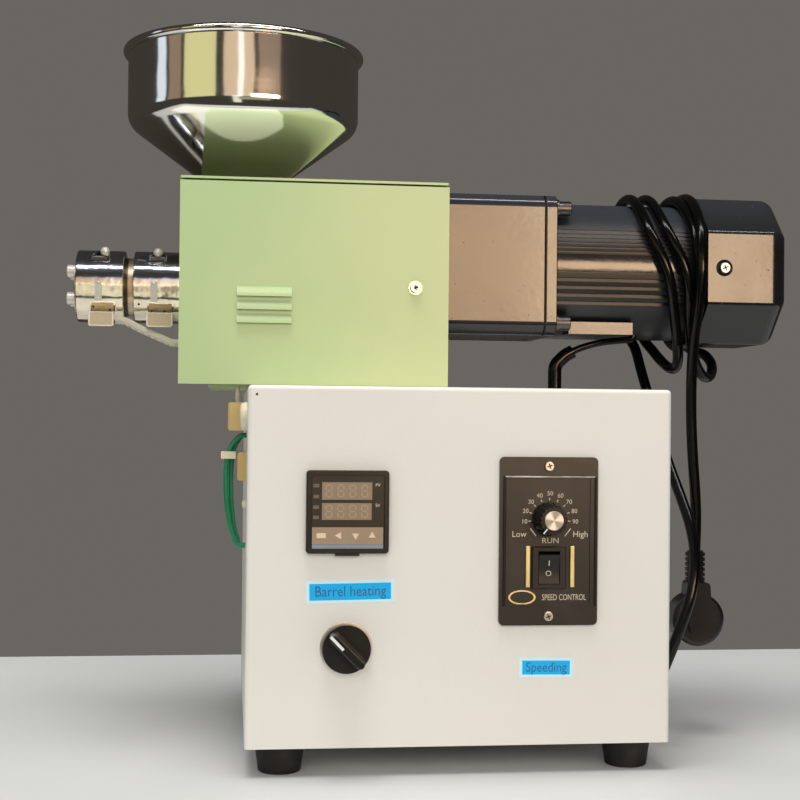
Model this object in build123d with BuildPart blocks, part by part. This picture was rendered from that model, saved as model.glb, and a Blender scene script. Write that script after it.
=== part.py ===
from build123d import *
from math import atan, cos, degrees, pi, radians, sin, tan
import os

# Bench-top laboratory extruder, in millimetres.
# +Z is up, +X runs along the machine from the die to the motor, and the control panel faces -Y.
# The origin lies on the table, under the middle of the machine's length and depth.

os.makedirs("parts", exist_ok=True)

# Clearances
seam = 0.3            # between sheet-metal pieces that meet at an edge
fit_gap = 0.2         # radial, between a round piece and the hole that it sits in
running_gap = 0.4     # between a knob or a rocker and what it moves over
seat_gap = 0.1        # between two curved faces that are seated on each other

# Edge breaks
fine_edge = 0.3
small_edge = 0.6
soft_edge = 1.0

# Control cabinet
cabinet_width = 252.0
cabinet_depth = 260.0
cabinet_height = 210.0
cabinet_sheet = 1.5
cabinet_edge = 2.5
back_inset = 2.0
base_sheet = 2.0
base_slot_count = 8
base_slot_pitch = 18.0
base_slot_length = 60.0
base_slot_width = 5.0
rear_slot_count = 14
rear_slot_pitch = 11.0
rear_slot_length = 46.0
rear_slot_width = 4.0
rear_slot_drop = 60.0

# Rubber feet
foot_height = 17.0
foot_top_radius = 15.0
foot_bottom_radius = 12.5
foot_inset = 21.0
foot_screw_radius = 4.5
foot_screw_depth = 7.0

# Temperature controller, placed from the cabinet's left and top edges
controller_left = 58.0
controller_drop = 73.0
controller_size = 48.0
controller_proud = 5.0
controller_corner = 2.0
controller_frame = 2.6
controller_face_recess = 1.2
controller_case_size = 44.6
controller_case_depth = 72.0
controller_lug_width = 14.0
controller_lug_height = 1.4

# Heater selector
selector_left = 58.0
selector_drop = 152.0
selector_radius = 14.0
selector_collar_radius = 15.2
selector_collar_height = 1.6
selector_disc_height = 4.5
selector_bar_height = 11.5
selector_bar_width = 7.0
selector_bar_inset = 0.6
selector_bar_taper = 4.0
selector_shaft_radius = 3.0
selector_rest_angle = 135.0
shaft_reach = 12.0        # of a knob's shaft behind the front panel

# Speed controller
speed_left = 177.0
speed_drop = 90.0
speed_plate_width = 59.0
speed_plate_height = 99.0
speed_plate_thickness = 2.4
speed_plate_corner = 3.0
speed_ridge_width = 51.5
speed_ridge_height = 76.0
speed_ridge = 1.0
speed_ridge_proud = 0.7
speed_ridge_corner = 2.0
speed_case_width = 46.0
speed_case_height = 74.0
speed_case_depth = 48.0
speed_screw_spread = 88.0
speed_screw_radius = 2.9
speed_screw_proud = 1.5

# Speed knob, placed from the speed plate's centre
speed_knob_up = 13.0
speed_knob_radius = 10.2
speed_knob_top_radius = 8.0
speed_knob_height = 13.0
speed_knob_flutes = 18
speed_knob_flute_radius = 0.8
speed_knob_cap_radius = 5.6
speed_knob_cap_proud = 0.8
speed_shaft_radius = 3.0

# Rocker switch, placed from the speed plate's centre
rocker_down = 15.5
rocker_bezel_width = 20.5
rocker_bezel_height = 25.0
rocker_bezel_proud = 2.0
rocker_window_width = 13.0
rocker_window_height = 19.4
rocker_width = 12.2
rocker_length = 17.2
rocker_depth = 8.0      # from its pivot to its face
rocker_back = 2.0
rocker_pin_radius = 1.2
rocker_pin_length = 15.6
rocker_pocket = 14.0
rocker_proud = 1.0
rocker_hollow = 1.6
rocker_tip = 12.0     # degrees that it tips from off to on

# Guard round the feed block and the drive end
guard_overhang = 42.0
guard_width = 166.0
guard_depth = 160.0
guard_height = 127.1
guard_sheet = 1.5
guard_edge = 1.4
guard_lift = 1.2          # of the front cover's lower edge above the cabinet
guard_rear_lift = 6.5     # of the back cover's and the left end plate's
guard_lid_seam = 1.2
guard_end_sheet = 3.0
guard_base_thickness = 4.0
guard_base_inset = 18.0
guard_base_margin = 6.0

# Louvres pressed into the guard
louvre_count = 3
louvre_length = 33.5
louvre_height = 6.0
louvre_proud = 2.6
louvre_sheet = 0.9
louvre_pitch = 8.2
louvre_left = 35.0
louvre_down = 67.0      # of the first one's upper edge below the guard's top

# Screws of the guard
guard_screw_right = 21.0
guard_screw_down = 66.0
guard_washer_radius = 4.4
guard_washer = 1.0
guard_screw_head_radius = 3.0
guard_screw_head = 2.2
guard_screw_socket = 1.6

# Barrel, feed block, die
barrel_height = 66.2      # of its axis above the cabinet's top
barrel_radius = 19.0
barrel_bore = 8.2
screw_gap = 0.3           # between the feed screw's flight and the bore
screw_root_radius = 5.2
screw_shank_radius = 7.6
screw_pitch = 16.0
screw_flight = 2.2
screw_tip = 8.0
screw_tip_taper = 28.0
barrel_tail = 36.0        # from the hopper's axis to its drive end
feed_block_length = 58.0
feed_block_width = 60.0
feed_bore = 14.0
die_length = 12.0
die_proud = 1.0
die_bolt_circle = 25.0
die_bolt_head_radius = 4.25
die_bolt_head = 5.4
die_bolt_socket = 2.1
die_bolt_socket_depth = 2.6
nozzle_radius = 4.0
nozzle_proud = 2.2
nozzle_bore = 1.5

# Band heaters
heater_count = 2
heater_width = 30.7
heater_gap = 6.1
heater_guard_gap = 1.0
heater_radius = 23.6
heater_jacket = 4.4
heater_window_length = 11.4
heater_window_width = 8.4
heater_window_depth = 2.6
heater_window_angle = 40.0
clamp_pin_radius = 2.3
clamp_pin_length = 9.0
clamp_pin_offset = 1.6    # of the nut from the window's middle, away from the screw's head
clamp_screw_radius = 1.3
clamp_neck = 1.1
clamp_head_radius = 2.5
clamp_head = 2.1
terminal_length = 16.5
terminal_width = 10.0
terminal_reach = 9.0
terminal_wall = 1.2
terminal_recess = 1.6
terminal_angle = 138.0    # from the top towards the front
terminal_shift = 2.0      # towards the guard
terminal_sink = 1.4
heater_lead_diameter = 5.0
block_lead_diameter = 3.0
heater_lead_side = 5.5
heater_lead_fall = 17.0

# Hopper
hopper_inset = 38.5       # of its axis from the guard's left face
hopper_rim_radius = 77.1
hopper_rim_tube = 2.5
hopper_radius = 76.3
hopper_wall = 1.0
hopper_height = 95.5
hopper_straight = 47.2
hopper_neck_radius = 17.0
hopper_seat = 10.0        # of its neck below the guard's lid
hopper_neck_round = 4.0
hopper_neck_top = 2.0     # above the guard's lid
hopper_shoulder = 13.0

# Gearmotor
shaft_offset = 16.6       # of the motor's axis above the barrel's
gearbox_size = 92.0
gearbox_length = 69.3
gearbox_corner = 8.5
gearbox_step = 1.0        # of its relief against the flange
flange_length = 7.8
flange_bolt_spread = 75.5
flange_bolt_radius = 4.9
flange_bolt_head = 8.5
flange_washer_radius = 6.0
flange_washer = 1.8
flange_bolt_socket = 2.5
flange_bolt_socket_depth = 4.0
motor_radius = 46.0
motor_length = 100.8
motor_groove_depth = 1.6
fine_groove_width = 1.3
fine_groove_pitch = 2.9
fine_groove_count = 6
fine_groove_start = 9.1
coarse_groove_width = 2.4
coarse_groove_pitch = 4.9
coarse_groove_count = 4
coarse_groove_start = 9.4
motor_pad_length = 43.5
motor_pad_start = 11.0    # from the flange
motor_pad_half_depth = 33.0
motor_pad_drop = 44.3     # of its underside below the motor's axis
motor_pad_height = 8.0
fan_cover_size = 98.6
fan_cover_length = 56.1
fan_cover_chamfer = 25.1
fan_cover_end_round = 12.0
fan_cover_edge = 4.0
fan_screw_radius = 3.6
fan_screw_head = 2.4
fan_screw_from_edge = 11.0
fan_slot_count = 16
fan_slot_width = 3.0
fan_slot_inner = 14.0
fan_slot_outer = 33.0
fan_slot_depth = 2.5

# Motor lead, from the motor's underside into the cabinet's top
motor_lead_diameter = 4.5
motor_sleeve_diameter = 9.0
lead_entry_reach = 4.8    # of its way into the cabinet past the flange
lead_entry_side = 20.0    # in front of the motor's axis
lead_exit_reach = 6.5     # past the pad
lead_exit_side = 14.0
lead_sink = 4.5           # of its start above the pad's underside, in the motor
motor_grommet_radius = 6.5
motor_grommet_height = 2.4

# Terminal blocks on the left side
block_thicknesses = (11.5, 5.5)
block_height = 17.2
block_depth = 24.0
block_drops = (18.5, 49.0)
block_back = 60.0
block_edge = 1.0
dome_back = 30.0
dome_radius = 8.6
dome_proud = 4.5
nub_drop = 72.4
nub_radius = 3.2
nub_proud = 2.5
green_wire_diameter = 3.0
green_wire_spread = 3.6    # front to back
green_wire_drop = 98.0    # of its lower end below the cabinet's top
green_wire_reach = 12.6    # of the outer one
green_wire_nest = 3.2      # of the other inside it
tie_width = 9.0
tie_depth = 9.0
tie_height = 4.5
tie_share = 0.82          # of the way up the wires

# Mains cord
cord_diameter = 7.0
gland_radius = 8.5
gland_flange_radius = 11.0
gland_flange = 3.0
gland_proud = 24.0
gland_thread = 4.0        # inside the cabinet
gland_lip = 1.2           # of its end round the cord
gland_from_right = 52.0
gland_up = 44.0
cord_side_gap = 5.5       # between it and the cabinet's right side
cord_side_wander = 7.5
cord_bend_reach = 56.6    # of its bend behind the gland
cord_front = 58.0         # of its foremost point behind the front panel
cord_fan_gap = 3.7
drop_front = 92.0         # of the hanging part behind the front panel
drop_start = 24.0         # of its top below the motor's axis
coil_turn = 9.0           # how far the turns stand off the motor
coil_hang = 72.0          # below the motor's axis
coil_clear = 0.4
coil_span = 50.0          # at its top
coil_lean = 10.0
loop_radius = 16.0
plug_radius = 17.5
plug_relief_top = 122.2   # above the table
plug_thickness = 20.0
plug_round = 3.0
plug_grip_proud = 2.2
plug_grip_flare = 1.5
plug_grip_foot = 9.0
plug_rib_count = 6
plug_rib_share = 0.6
plug_rib_depth = 1.2
plug_relief_radius = 6.5
plug_relief_length = 20.0
plug_neck = 7.5
plug_pin_radius = 2.4
plug_pin_length = 19.0
plug_pin_spread = 19.0

# Reaches of the machine from the cabinet's left side and front panel
heater_span = heater_count * heater_width + (heater_count - 1) * heater_gap
die_reach = guard_overhang + heater_guard_gap + heater_span + die_proud + die_bolt_head
motor_reach = (guard_width - guard_overhang + gearbox_length + flange_length
               + motor_length + fan_cover_length)
knob_reach = selector_collar_height + running_gap + selector_disc_height + selector_bar_height
gland_reach = gland_proud - back_inset

# Stations along X
cabinet_left = (die_reach - motor_reach) / 2
cabinet_right = cabinet_left + cabinet_width
cabinet_middle = cabinet_left + cabinet_width / 2
guard_left = cabinet_left - guard_overhang
guard_right = guard_left + guard_width
guard_middle = guard_left + guard_width / 2
hopper_x = guard_left + hopper_inset
barrel_left = guard_left - heater_guard_gap - heater_span
gearbox_left = guard_right
flange_left = gearbox_left + gearbox_length
motor_left = flange_left + flange_length
fan_left = motor_left + motor_length

# Stations along Y
cabinet_front = (knob_reach - cabinet_depth - gland_reach) / 2
cabinet_back = cabinet_front + cabinet_depth
axis_y = cabinet_front + cabinet_depth / 2
guard_front = axis_y - guard_depth / 2
guard_rear = axis_y + guard_depth / 2

# Stations along Z
cabinet_bottom = foot_height
cabinet_top = cabinet_bottom + cabinet_height
guard_bottom = cabinet_top + guard_lift
guard_top = guard_bottom + guard_height
guard_floor = cabinet_top + guard_base_thickness
guard_rear_bottom = cabinet_top + guard_rear_lift
barrel_z = cabinet_top + barrel_height
motor_z = barrel_z + shaft_offset


def save(piece, name):
    piece.part.label = name
    export_step(piece.part, f"parts/{name}.step")


def panel_plane(from_left, drop, proud=0.0):
    """A plane on the front panel: its x runs right, its y up and its normal out of the panel."""
    origin = (cabinet_left + from_left, cabinet_front - proud, cabinet_top - drop)
    return Plane(origin=origin, x_dir=(1, 0, 0), z_dir=(0, -1, 0))


def across_plane(x, y=axis_y, z=0.0):
    """A plane square to the machine's length: its x runs along Y, its y up and its normal along +X."""
    return Plane(origin=(x, y, z), x_dir=(0, 1, 0), z_dir=(1, 0, 0))


# Control cabinet: a folded sheet shell with a separate back and base
with BuildPart() as cabinet_shell:
    with BuildSketch(Plane.XY.offset(cabinet_bottom)):
        with Locations((cabinet_middle, axis_y)):
            Rectangle(cabinet_width, cabinet_depth)
    extrude(amount=cabinet_height)
    upright = cabinet_shell.edges().filter_by(Axis.Z).group_by(Axis.Y)[0]
    along_top = cabinet_shell.faces().sort_by(Axis.Z)[-1].edges().sort_by(Axis.Y)[:-1]
    fillet(upright + along_top, cabinet_edge)
    open_sides = [cabinet_shell.faces().sort_by(Axis.Y)[-1], cabinet_shell.faces().sort_by(Axis.Z)[0]]
    offset(amount=-cabinet_sheet, openings=open_sides)
    with BuildSketch(panel_plane(controller_left, controller_drop)):
        Rectangle(controller_case_size + 2 * fit_gap, controller_case_size + 2 * fit_gap)
    with BuildSketch(panel_plane(speed_left, speed_drop)):
        Rectangle(speed_case_width + 2 * fit_gap, speed_case_height + 2 * fit_gap)
    with BuildSketch(panel_plane(selector_left, selector_drop)):
        Circle(selector_shaft_radius + running_gap)
    extrude(amount=-3 * cabinet_sheet, mode=Mode.SUBTRACT)
save(cabinet_shell, "cabinet_shell")

base_front = cabinet_front + cabinet_sheet + seam
base_back = cabinet_back - back_inset - cabinet_sheet - seam
with BuildPart() as cabinet_base:
    with BuildSketch(Plane.XY.offset(cabinet_bottom)):
        with Locations((cabinet_middle, (base_front + base_back) / 2)):
            Rectangle(cabinet_width - 2 * (cabinet_sheet + seam), base_back - base_front)
    extrude(amount=base_sheet)
    with Locations((cabinet_middle, axis_y, cabinet_bottom)):
        with GridLocations(base_slot_pitch, 0, base_slot_count, 1):
            Box(base_slot_width, base_slot_length, 3 * base_sheet, mode=Mode.SUBTRACT)
save(cabinet_base, "cabinet_base")

gland_x = cabinet_right - gland_from_right
gland_z = cabinet_bottom + gland_up
with BuildPart() as cabinet_rear:
    with BuildSketch(Plane.XZ.offset(-cabinet_back + back_inset)):
        with Locations((cabinet_middle, cabinet_bottom + (cabinet_height - cabinet_sheet) / 2)):
            Rectangle(
                cabinet_width - 2 * (cabinet_sheet + seam),
                cabinet_height - cabinet_sheet - 2 * seam,
            )
        with Locations((gland_x, gland_z)):
            Circle(gland_radius + fit_gap, mode=Mode.SUBTRACT)
        with Locations((cabinet_middle, cabinet_top - rear_slot_drop)):
            with GridLocations(rear_slot_pitch, 0, rear_slot_count, 1):
                SlotOverall(rear_slot_length, rear_slot_width, rotation=90, mode=Mode.SUBTRACT)
    extrude(amount=cabinet_sheet)
save(cabinet_rear, "cabinet_rear")

# Four tapered rubber feet, each with a screw recess underneath
with BuildPart() as rubber_feet:
    for x in (cabinet_left + foot_inset, cabinet_right - foot_inset):
        for y in (cabinet_front + foot_inset, cabinet_back - foot_inset):
            with BuildSketch(Plane(origin=(x, y, 0), x_dir=(1, 0, 0), z_dir=(0, -1, 0))):
                with BuildLine():
                    Polyline(
                        (0, foot_height),
                        (foot_top_radius, foot_height),
                        (foot_bottom_radius, 0),
                        (foot_screw_radius, 0),
                        (foot_screw_radius, foot_screw_depth),
                        (0, foot_screw_depth),
                        close=True,
                    )
                make_face()
            revolve(axis=Axis((x, y, 0), (0, 0, 1)))
    on_table = rubber_feet.edges().filter_by(GeomType.CIRCLE).group_by(Axis.Z)[0]
    fillet(on_table.group_by(SortBy.RADIUS)[-1], soft_edge)
save(rubber_feet, "rubber_feet")

# Temperature controller: a case behind the panel, and a bezel with its face in front
with BuildPart() as controller_case:
    with BuildSketch(panel_plane(controller_left, controller_drop)):
        Rectangle(controller_case_size, controller_case_size)
    extrude(amount=-controller_case_depth)
save(controller_case, "controller_case")

with BuildPart() as controller_bezel:
    with BuildSketch(panel_plane(controller_left, controller_drop)):
        RectangleRounded(controller_size, controller_size, controller_corner)
    extrude(amount=controller_proud)
    fillet(controller_bezel.faces().sort_by(Axis.Y)[0].edges(), small_edge)
    opening = controller_size - 2 * controller_frame
    with BuildSketch(panel_plane(controller_left, controller_drop, controller_proud)):
        RectangleRounded(opening, opening, soft_edge)
    extrude(amount=-controller_face_recess, mode=Mode.SUBTRACT)
    lug_middle = controller_drop + (controller_size + controller_lug_height) / 2
    with BuildSketch(panel_plane(controller_left, lug_middle)):
        Rectangle(controller_lug_width, controller_lug_height)
    extrude(amount=controller_proud - soft_edge)
save(controller_bezel, "controller_bezel")

with BuildPart() as controller_face:
    with BuildSketch(panel_plane(controller_left, controller_drop, controller_proud - controller_face_recess)):
        RectangleRounded(opening - 2 * fit_gap, opening - 2 * fit_gap, soft_edge - fit_gap)
    extrude(amount=controller_face_recess / 2)
save(controller_face, "controller_face")

# Heater selector: a thin collar on the panel, and a knob with a raised grip
with BuildPart() as selector_collar:
    with BuildSketch(panel_plane(selector_left, selector_drop)):
        Circle(selector_collar_radius)
        Circle(selector_shaft_radius + running_gap, mode=Mode.SUBTRACT)
    extrude(amount=selector_collar_height)
    fillet(selector_collar.faces().sort_by(Axis.Y)[0].edges().sort_by(SortBy.RADIUS)[-1], small_edge)
save(selector_collar, "selector_collar")

selector_seat = selector_collar_height + running_gap
with BuildPart() as selector_knob:
    with BuildSketch(panel_plane(selector_left, selector_drop, selector_seat)):
        Circle(selector_radius)
    extrude(amount=selector_disc_height)
    with BuildSketch(panel_plane(selector_left, selector_drop, selector_seat + selector_disc_height)):
        with Locations(Rotation(0, 0, selector_rest_angle)):
            SlotOverall(2 * (selector_radius - selector_bar_inset), selector_bar_width)
    extrude(amount=selector_bar_height, taper=selector_bar_taper)
    fillet(selector_knob.faces().sort_by(Axis.Y)[0].edges(), soft_edge)
    with BuildSketch(panel_plane(selector_left, selector_drop, selector_seat)):
        Circle(selector_shaft_radius)
    extrude(amount=-selector_seat - shaft_reach)
save(selector_knob, "selector_knob")

# Speed controller: a plate on the panel with a raised line, and a case behind it
plate_face = speed_plate_thickness
knob_drop = speed_drop - speed_knob_up
rocker_drop = speed_drop + rocker_down
rocker_pivot_y = cabinet_front - plate_face - rocker_bezel_proud - rocker_proud + rocker_depth
rocker_plane = across_plane(cabinet_left + speed_left, rocker_pivot_y, cabinet_top - rocker_drop)
with BuildPart() as speed_plate:
    with BuildSketch(panel_plane(speed_left, speed_drop)):
        RectangleRounded(speed_plate_width, speed_plate_height, speed_plate_corner)
        with Locations((0, speed_knob_up)):
            Circle(speed_shaft_radius + running_gap, mode=Mode.SUBTRACT)
        with Locations((0, -rocker_down)):
            Rectangle(rocker_window_width, rocker_window_height, mode=Mode.SUBTRACT)
    extrude(amount=speed_plate_thickness)
    with BuildSketch(panel_plane(speed_left, speed_drop, plate_face)):
        RectangleRounded(speed_ridge_width, speed_ridge_height, speed_ridge_corner)
        offset(amount=-speed_ridge, mode=Mode.SUBTRACT)
    extrude(amount=speed_ridge_proud)
save(speed_plate, "speed_plate")

with BuildPart() as speed_case:
    with BuildSketch(panel_plane(speed_left, speed_drop)):
        Rectangle(speed_case_width, speed_case_height)
        with Locations((0, speed_knob_up)):
            Circle(speed_shaft_radius + running_gap, mode=Mode.SUBTRACT)
    extrude(amount=-speed_case_depth)
    with BuildSketch(panel_plane(speed_left, rocker_drop)):
        Rectangle(rocker_window_width, rocker_window_height)
    extrude(amount=-rocker_pocket, mode=Mode.SUBTRACT)
    with BuildSketch(rocker_plane):
        Circle(rocker_pin_radius + fit_gap)
    extrude(amount=rocker_pin_length / 2 + fit_gap, both=True, mode=Mode.SUBTRACT)
save(speed_case, "speed_case")

with BuildPart() as speed_screws:
    for up in (speed_screw_spread / 2, -speed_screw_spread / 2):
        with BuildSketch(panel_plane(speed_left, speed_drop - up, plate_face)):
            Circle(speed_screw_radius)
        extrude(amount=speed_screw_proud)
    fillet(speed_screws.faces().group_by(Axis.Y)[0].edges(), small_edge)
save(speed_screws, "speed_screws")

knob_seat = plate_face + running_gap
with BuildPart() as speed_knob:
    with BuildSketch(panel_plane(speed_left, knob_drop, knob_seat)):
        Circle(speed_knob_radius)
        with PolarLocations(speed_knob_radius, speed_knob_flutes):
            Circle(speed_knob_flute_radius, mode=Mode.SUBTRACT)
    with BuildSketch(panel_plane(speed_left, knob_drop, knob_seat + speed_knob_height)):
        Circle(speed_knob_top_radius)
        with PolarLocations(speed_knob_top_radius, speed_knob_flutes):
            Circle(speed_knob_flute_radius, mode=Mode.SUBTRACT)
    loft()
    with BuildSketch(panel_plane(speed_left, knob_drop, knob_seat)):
        Circle(speed_shaft_radius)
    extrude(amount=-knob_seat - shaft_reach)
save(speed_knob, "speed_knob")

with BuildPart() as speed_knob_cap:
    with BuildSketch(panel_plane(speed_left, knob_drop, knob_seat + speed_knob_height)):
        Circle(speed_knob_cap_radius)
    extrude(amount=speed_knob_cap_proud)
    fillet(speed_knob_cap.faces().sort_by(Axis.Y)[0].edges(), fine_edge)
save(speed_knob_cap, "speed_knob_cap")

# Rocker switch: a bezel on the plate, and a rocker with a hollow face, shown off with its lower end in
with BuildPart() as rocker_bezel:
    with BuildSketch(panel_plane(speed_left, rocker_drop, plate_face)):
        RectangleRounded(rocker_bezel_width, rocker_bezel_height, soft_edge)
        Rectangle(rocker_window_width, rocker_window_height, mode=Mode.SUBTRACT)
    extrude(amount=rocker_bezel_proud)
    chamfer(rocker_bezel.faces().sort_by(Axis.Y)[0].outer_wire().edges(), small_edge)
save(rocker_bezel, "rocker_bezel")

half = rocker_length / 2
with BuildPart() as rocker:
    with BuildSketch(rocker_plane.rotated((rocker_tip / 2, 0, 0))):
        with BuildLine():
            Polyline(
                (-rocker_depth, half),
                (rocker_back, half),
                (rocker_back, -half),
                (-rocker_depth, -half),
            )
            ThreePointArc((-rocker_depth, half), (-rocker_depth + rocker_hollow, 0), (-rocker_depth, -half))
        make_face()
    extrude(amount=rocker_width / 2, both=True)
    with BuildSketch(rocker_plane):
        Circle(rocker_pin_radius)
    extrude(amount=rocker_pin_length / 2, both=True)
save(rocker, "rocker")

# Guard: a base plate, two end plates, two covers and a lid
with BuildPart() as guard_base:
    with BuildSketch(Plane.XY.offset(cabinet_top)):
        with Locations((guard_middle + (guard_base_inset - guard_base_margin) / 2, axis_y)):
            Rectangle(
                guard_width - guard_base_inset - guard_base_margin,
                guard_depth - 2 * guard_base_margin,
            )
    extrude(amount=guard_base_thickness)
save(guard_base, "guard_base")

cover_top = guard_top - guard_sheet - guard_lid_seam


def guard_end(name, x, bottom, hole_radius):
    """An end plate of the guard, with a hole for what passes through it."""
    with BuildPart() as plate:
        with BuildSketch(across_plane(x)):
            with Locations((0, (bottom + cover_top) / 2)):
                Rectangle(guard_depth - 2 * (guard_sheet + seam), cover_top - bottom)
            with Locations((0, barrel_z)):
                Circle(hole_radius, mode=Mode.SUBTRACT)
        extrude(amount=guard_end_sheet)
    save(plate, name)


guard_end("guard_end_left", guard_left, guard_rear_bottom, barrel_radius + fit_gap)
guard_end("guard_end_right", guard_right - guard_end_sheet, guard_floor, screw_shank_radius + running_gap)


# Heights of the louvres' upper edges, from the top one down
louvre_tops = [guard_top - louvre_down - n * louvre_pitch for n in range(louvre_count)]


def guard_cover(name, facing, bottom):
    """One long side of the guard. facing is -1 for the front and 1 for the back."""
    outer_y = axis_y + facing * guard_depth / 2
    louvre_start = guard_left + louvre_left
    with BuildPart() as cover:
        with BuildSketch(Plane.XY.offset(bottom)):
            with Locations((guard_middle, outer_y - facing * guard_sheet / 2)):
                Rectangle(guard_width, guard_sheet)
        extrude(amount=cover_top - bottom)
        for top in louvre_tops:
            with BuildSketch(across_plane(louvre_start, outer_y, top)):
                with BuildLine():
                    Spline(
                        (0, 0),
                        (facing * louvre_proud, -louvre_height),
                        tangents=((facing * 0.3, -1), (facing * 0.1, -1)),
                    )
                    Line((facing * louvre_proud, -louvre_height), (0, -louvre_height))
                    Line((0, -louvre_height), (0, 0))
                make_face()
            extrude(amount=louvre_length)
            with BuildSketch(across_plane(louvre_start + louvre_sheet, outer_y, top)):
                with BuildLine():
                    inner = louvre_proud - louvre_sheet
                    Polyline(
                        (facing * -2 * guard_sheet, -louvre_height),
                        (facing * inner, -louvre_height),
                        (facing * inner * 0.75, -louvre_height * 0.6),
                        (facing * -2 * guard_sheet, -louvre_height * 0.3),
                        close=True,
                    )
                make_face()
            extrude(amount=louvre_length - 2 * louvre_sheet, mode=Mode.SUBTRACT)
    save(cover, name)


guard_cover("guard_front", -1, guard_bottom)
guard_cover("guard_back", 1, guard_rear_bottom)

with BuildPart() as guard_lid:
    with BuildSketch(Plane.XY.offset(guard_top - guard_sheet)):
        with Locations((guard_middle, axis_y)):
            RectangleRounded(guard_width, guard_depth, guard_edge)
        with Locations((hopper_x, axis_y)):
            Circle(hopper_neck_radius + fit_gap, mode=Mode.SUBTRACT)
    extrude(amount=guard_sheet)
save(guard_lid, "guard_lid")

with BuildPart() as guard_screws:
    for facing in (-1, 1):
        face_y = axis_y + facing * guard_depth / 2
        screw_plane = Plane(
            origin=(guard_right - guard_screw_right, face_y, guard_top - guard_screw_down),
            x_dir=(-facing, 0, 0),
            z_dir=(0, facing, 0),
        )
        with BuildSketch(screw_plane):
            Circle(guard_washer_radius)
        extrude(amount=guard_washer)
        with BuildSketch(screw_plane.offset(guard_washer)):
            Circle(guard_screw_head_radius)
            RegularPolygon(guard_screw_socket, 6, mode=Mode.SUBTRACT)
        extrude(amount=guard_screw_head)
save(guard_screws, "guard_screws")

# Feed block: carries the barrel on the base plate and takes the hopper's neck
block_top = guard_top - guard_sheet - hopper_seat
with BuildPart() as feed_block:
    with BuildSketch(Plane.XY.offset(guard_floor)):
        with Locations((hopper_x, axis_y)):
            Rectangle(feed_block_length, feed_block_width)
    extrude(amount=block_top - guard_floor)
    with BuildSketch(across_plane(hopper_x - feed_block_length, z=barrel_z)):
        Circle(barrel_radius + fit_gap)
    extrude(amount=2 * feed_block_length, mode=Mode.SUBTRACT)
    with BuildSketch(Plane.XY.offset(block_top)):
        with Locations((hopper_x, axis_y)):
            Circle(feed_bore)
    extrude(amount=barrel_z - block_top, mode=Mode.SUBTRACT)
save(feed_block, "feed_block")

# Barrel, with the feed opening in its top
with BuildPart() as barrel:
    with BuildSketch(across_plane(barrel_left + die_length - die_proud, z=barrel_z)):
        Circle(barrel_radius)
        Circle(barrel_bore, mode=Mode.SUBTRACT)
    extrude(amount=hopper_x + barrel_tail - barrel_left - die_length + die_proud)
    with BuildSketch(Plane.XY.offset(barrel_z)):
        with Locations((hopper_x, axis_y)):
            SlotOverall(2 * feed_bore, 1.6 * barrel_bore)
    extrude(amount=barrel_radius + 1, mode=Mode.SUBTRACT)
save(barrel, "barrel")

# Feed screw: a helical flight under the hopper and along the barrel, and a plain shank to the gearbox
screw_start = barrel_left + die_length + seam
shank_start = hopper_x + feed_bore + screw_pitch / 2
flight_radius = barrel_bore - screw_gap
with BuildPart() as feed_screw:
    with BuildSketch(across_plane(screw_start + screw_tip, z=barrel_z)):
        Circle(screw_root_radius)
    extrude(amount=shank_start - screw_start - screw_tip)
    with BuildSketch(across_plane(shank_start, z=barrel_z)):
        Circle(screw_shank_radius)
    extrude(amount=guard_right - shank_start)
    with BuildSketch(across_plane(screw_start + screw_tip, z=barrel_z)):
        Circle(screw_root_radius)
    extrude(amount=-screw_tip, taper=screw_tip_taper)
    foot = Vector(screw_start + screw_tip, axis_y, barrel_z)
    with BuildLine():
        path = Helix(
            screw_pitch,
            shank_start - screw_start - screw_tip - screw_flight,
            screw_root_radius,
            center=foot,
            direction=(1, 0, 0),
        )
    with BuildSketch(Plane(origin=path @ 0, x_dir=(path @ 0) - foot, z_dir=path % 0)):
        with Locations(((flight_radius - screw_root_radius - seam) / 2, 0)):
            Rectangle(flight_radius - screw_root_radius + seam, screw_flight)
    sweep(path=path, is_frenet=True)
save(feed_screw, "feed_screw")

# Die head with its nozzle and four cap screws
die_face = barrel_left - die_proud
with BuildPart() as die_head:
    with BuildSketch(across_plane(die_face, z=barrel_z)):
        Circle(barrel_radius)
        Circle(nozzle_radius + fit_gap, mode=Mode.SUBTRACT)
    extrude(amount=die_length)
save(die_head, "die_head")

with BuildPart() as nozzle:
    with BuildSketch(across_plane(die_face - nozzle_proud, z=barrel_z)):
        Circle(nozzle_radius)
        Circle(nozzle_bore, mode=Mode.SUBTRACT)
    extrude(amount=nozzle_proud + die_length)
    chamfer(nozzle.faces().sort_by(Axis.X)[0].outer_wire().edges(), small_edge)
save(nozzle, "nozzle")

with BuildPart() as die_bolts:
    with BuildSketch(across_plane(die_face - die_bolt_head, z=barrel_z)):
        with PolarLocations(die_bolt_circle / 2, 4, start_angle=45):
            Circle(die_bolt_head_radius)
    extrude(amount=die_bolt_head)
    chamfer(die_bolts.faces().group_by(Axis.X)[0].edges(), small_edge)
    with BuildSketch(across_plane(die_face - die_bolt_head, z=barrel_z)):
        with PolarLocations(die_bolt_circle / 2, 4, start_angle=45):
            RegularPolygon(die_bolt_socket, 6)
    extrude(amount=die_bolt_socket_depth, mode=Mode.SUBTRACT)
save(die_bolts, "die_bolts")


def heater_start(number):
    """Left edge of a band heater, the first one at the die."""
    return barrel_left + number * (heater_width + heater_gap)


def heater_middle(number):
    return heater_start(number) + heater_width / 2


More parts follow.
